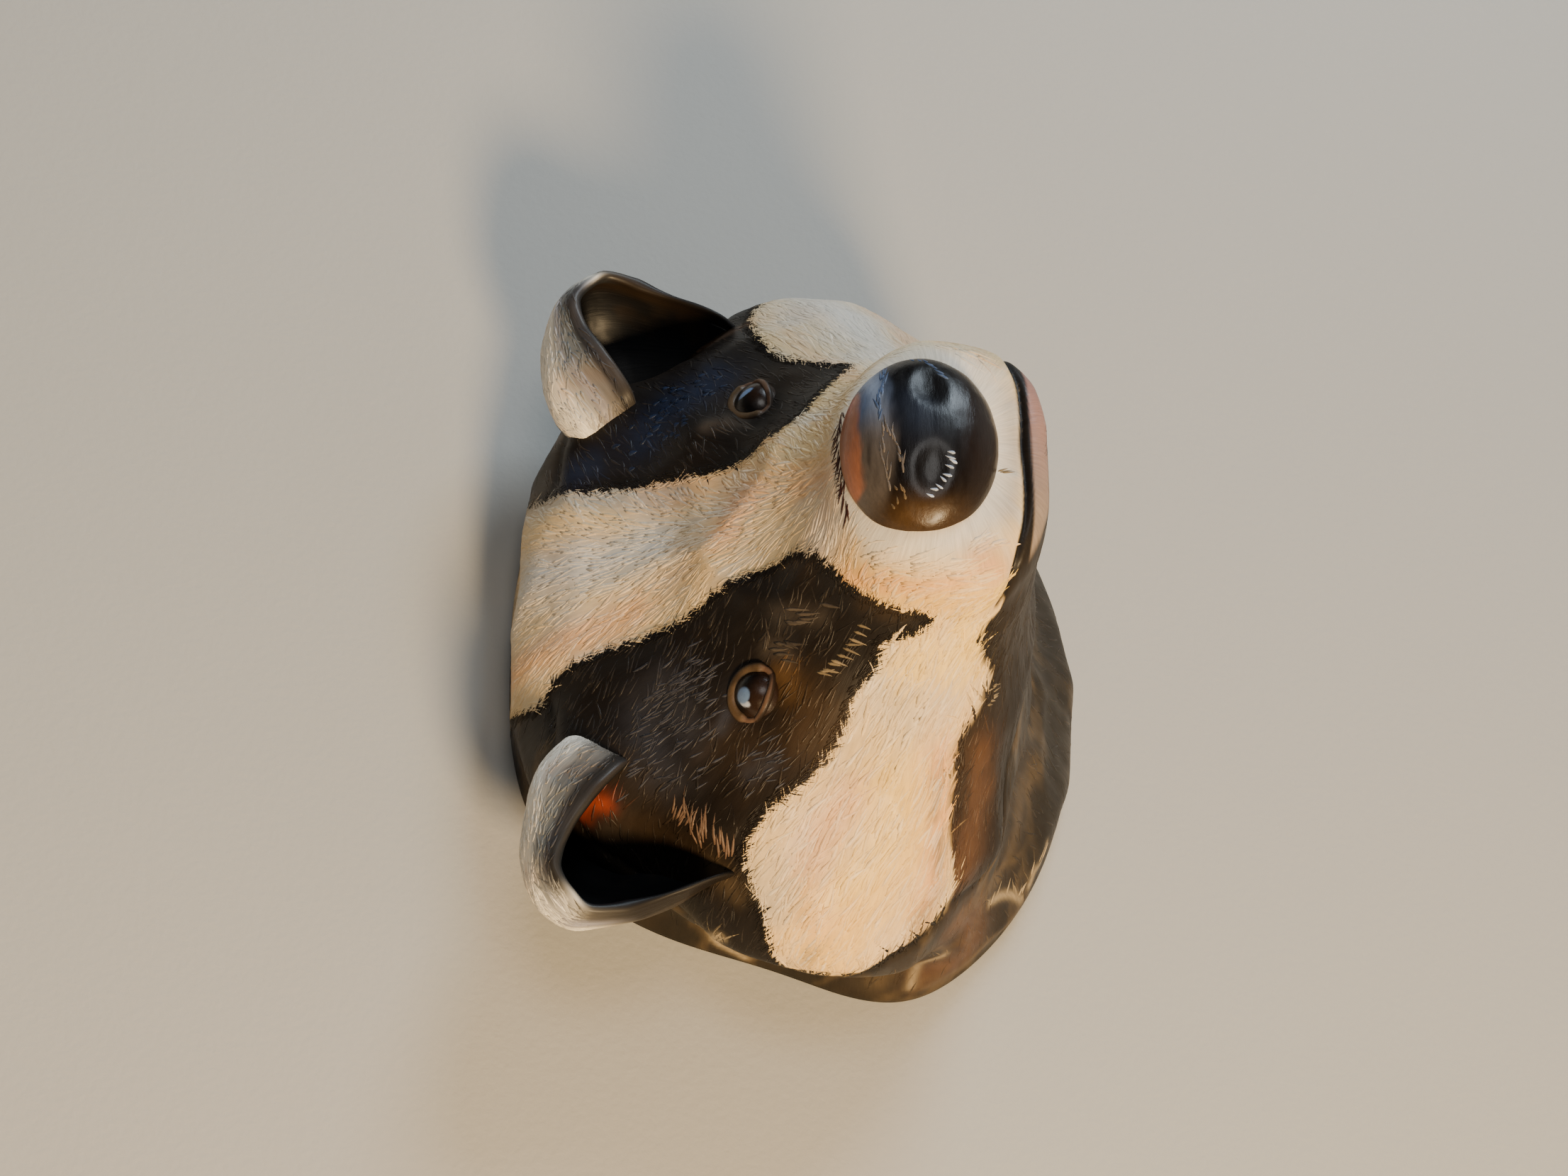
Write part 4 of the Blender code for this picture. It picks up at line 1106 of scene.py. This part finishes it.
def buildBall(centre, outward, slit, rise):
    v = np.linspace(0, np.pi, eye["ballRows"] + 2)[1:-1, None]
    w = roundTurn(eye["ballColumns"])
    local = np.stack((np.sin(v) * np.cos(w), np.sin(v) * np.sin(w), np.cos(v) * np.ones_like(w)), -1)
    local = np.vstack((local.reshape(-1, 3), (0, 0, 1), (0, 0, -1)))
    return centre + eye["radius"] * (local @ np.stack((slit, rise, outward))), local


def paintBall(local, side):
    # dark brown, browner below, with a painted highlight: a pale blue reflection with a paler rim
    x, y = local[:, 0] * -side, local[:, 1]
    front = local[:, 2] > 0
    highlightRim = np.hypot((x + 0.42) / 0.12, (y - 0.1) / 0.24)
    eyeHighlight = np.hypot((x + 0.18) / 0.3, (y - 0.24) / 0.28)
    if side > 0:
        # the right eye's painted highlight is a narrow upright streak with no pale rim
        highlightRim = 9 + 0 * x  # the right eye has no white
        eyeHighlight = np.hypot((x - 0.05) / 0.12, (y - 0.15) / 0.34)
    return layPaint("eyeDark", ("noseBlack", fadeIn(y, -0.2, 0.35)),
                    ("strokeWhite", (1 - fadeIn(highlightRim, 0.7, 1.1)) * front),
                    ("skyBlue", (1 - fadeIn(eyeHighlight, 0.8, 1.1)) * front))


for name, side in (("left", -1.0), ("right", 1.0)):
    print("eye", name)
    centre, outward, slit, rise = eyeFrame(side)
    vertices, local = buildBall(centre, outward, slit, rise)
    faces = poleFaces(eye["ballRows"], eye["ballColumns"])
    makePiece("painted_eye_" + name, vertices, faces, paintBall(local, side), eyePaint)
    radius, turn = eye["radius"], roundTurn(eye["lidSteps"])[:, None]
    upper = fadeIn(np.sin(turn), -0.05, 0.25)
    height = np.where(np.sin(turn) > 0, eye["upperRise"], eye["lowerDrop"])
    across = radius * (eye["halfLength"] * np.cos(turn) * slit + height * np.sin(turn) * rise)
    reach = norm(across, axis=-1, keepdims=True)
    stand = np.sqrt(np.maximum(0, 1 - (reach / radius) ** 2))
    middle = centre + across + outward * radius * np.maximum(eye["sink"] * eye["lidRest"], stand)
    a = roundTurn(eye["lidSides"])
    bead = np.cos(a)[None, :, None] * (across / reach)[:, None, :] + np.sin(a)[None, :, None] * outward
    lids = middle[:, None, :] + (eye["lid"] * (0.62 + 0.38 * upper))[:, None] * bead
    outerSide = np.broadcast_to(np.cos(a), lids.shape[:2])
    colour = layPaint("lidPink", ("lidBrown", np.broadcast_to(upper, lids.shape[:2])),
                      ("umber", 0.6 * fadeIn(mottle(lids, 0.004, 77), 0.0, 0.5)),
                      ("blackBrown", 0.9 * fadeIn(outerSide, 0.35, 0.8)),
                      ("noseBlack", 0.85 * fadeIn(-outerSide, 0.55, 0.85)))
    faces = gridFaces(len(lids) + 1, eye["lidSides"]) % (len(lids) * eye["lidSides"])
    makePiece("painted_lids_" + name, lids.reshape(-1, 3), [faces], colour.reshape(-1, 3), strokePaint)


# The wall, the floor, the lights and the camera
def setCamera():
    right, up, back = photoAxes()
    data = bpy.data.cameras.new("photoCamera")
    data.lens = photoView["lens"]
    data.sensor_width = photoView["sensor"]
    place = np.array(photoView["target"]) + back * photoView["distance"]
    # the photo lies on its side, so the ears point left
    bpy.context.scene.camera = inScene("photoCamera", data, (-up, right, back, place))


def plainSheet(name, low, high, colour, grain):
    # emulsion paint with a fine roller stipple between two corners, clear when seen from behind
    corners = [low, (high[0], *low[1:]), high, (low[0], *high[1:])]
    mesh = bpy.data.meshes.new(name)
    mesh.from_pydata(corners, [], [(0, 1, 2, 3)])
    material, tree, shader = newMaterial(name)
    shader.inputs["Base Color"].default_value = (*colour, 1)
    shader.inputs["Roughness"].default_value = 0.9
    where = node(tree, "TexCoord", {}, "Object")
    stipple = node(tree, "TexNoise", {"Vector": where, "Scale": grain, "Detail": 2.0}, "Fac")
    bump = node(tree, "Bump", {"Strength": 0.35, "Distance": 0.0004, "Height": stipple}, "Normal")
    tree.links.new(bump, shader.inputs["Normal"])
    behind, clear = node(tree, "NewGeometry", {}, "Backfacing"), node(tree, "BsdfTransparent", {})
    seen = node(tree, "MixShader", {0: behind, 1: shader.outputs[0], 2: clear})
    tree.links.new(seen, tree.nodes["Material Output"].inputs["Surface"])
    mesh.materials.append(material)
    inScene(name, mesh)


def softLight(name, place, size, power, colour):
    # a round area light that faces the head
    data = bpy.data.lights.new(name, "AREA")
    data.shape = "DISK"
    data.size = size
    data.energy = power
    data.color = colour
    back = unit(np.array(place) - headMiddle)
    right = unit(np.cross((0, 0, 1), back))
    inScene(name, data, (right, np.cross(back, right), back, place))


print("stage")
setCamera()
plainSheet("wall", (-3, 0.0005, -0.9), (3, 0.0005, 2.5), (0.46, 0.45, 0.42), 420.0)
plainSheet("floor", (-3, -4, -0.9), (3, 3, -0.9), (0.62, 0.6, 0.57), 60.0)
softLight("warmLamp", (-1.05, -0.72, -0.16), 0.26, 29, (1.0, 0.72, 0.4))
softLight("coolWindow", (1.05, -0.95, -0.3), 0.6, 15, (0.76, 0.89, 1.0))
softLight("frontFill", (0.0, -1.5, 0.3), 0.6, 5, (1.0, 0.98, 0.95))
world = bpy.data.worlds.new("softRoom")
world.use_nodes = True
world.node_tree.nodes["Background"].inputs["Color"].default_value = (0.8, 0.82, 0.86, 1)
world.node_tree.nodes["Background"].inputs["Strength"].default_value = 0.04
bpy.context.scene.world = world

print("done")
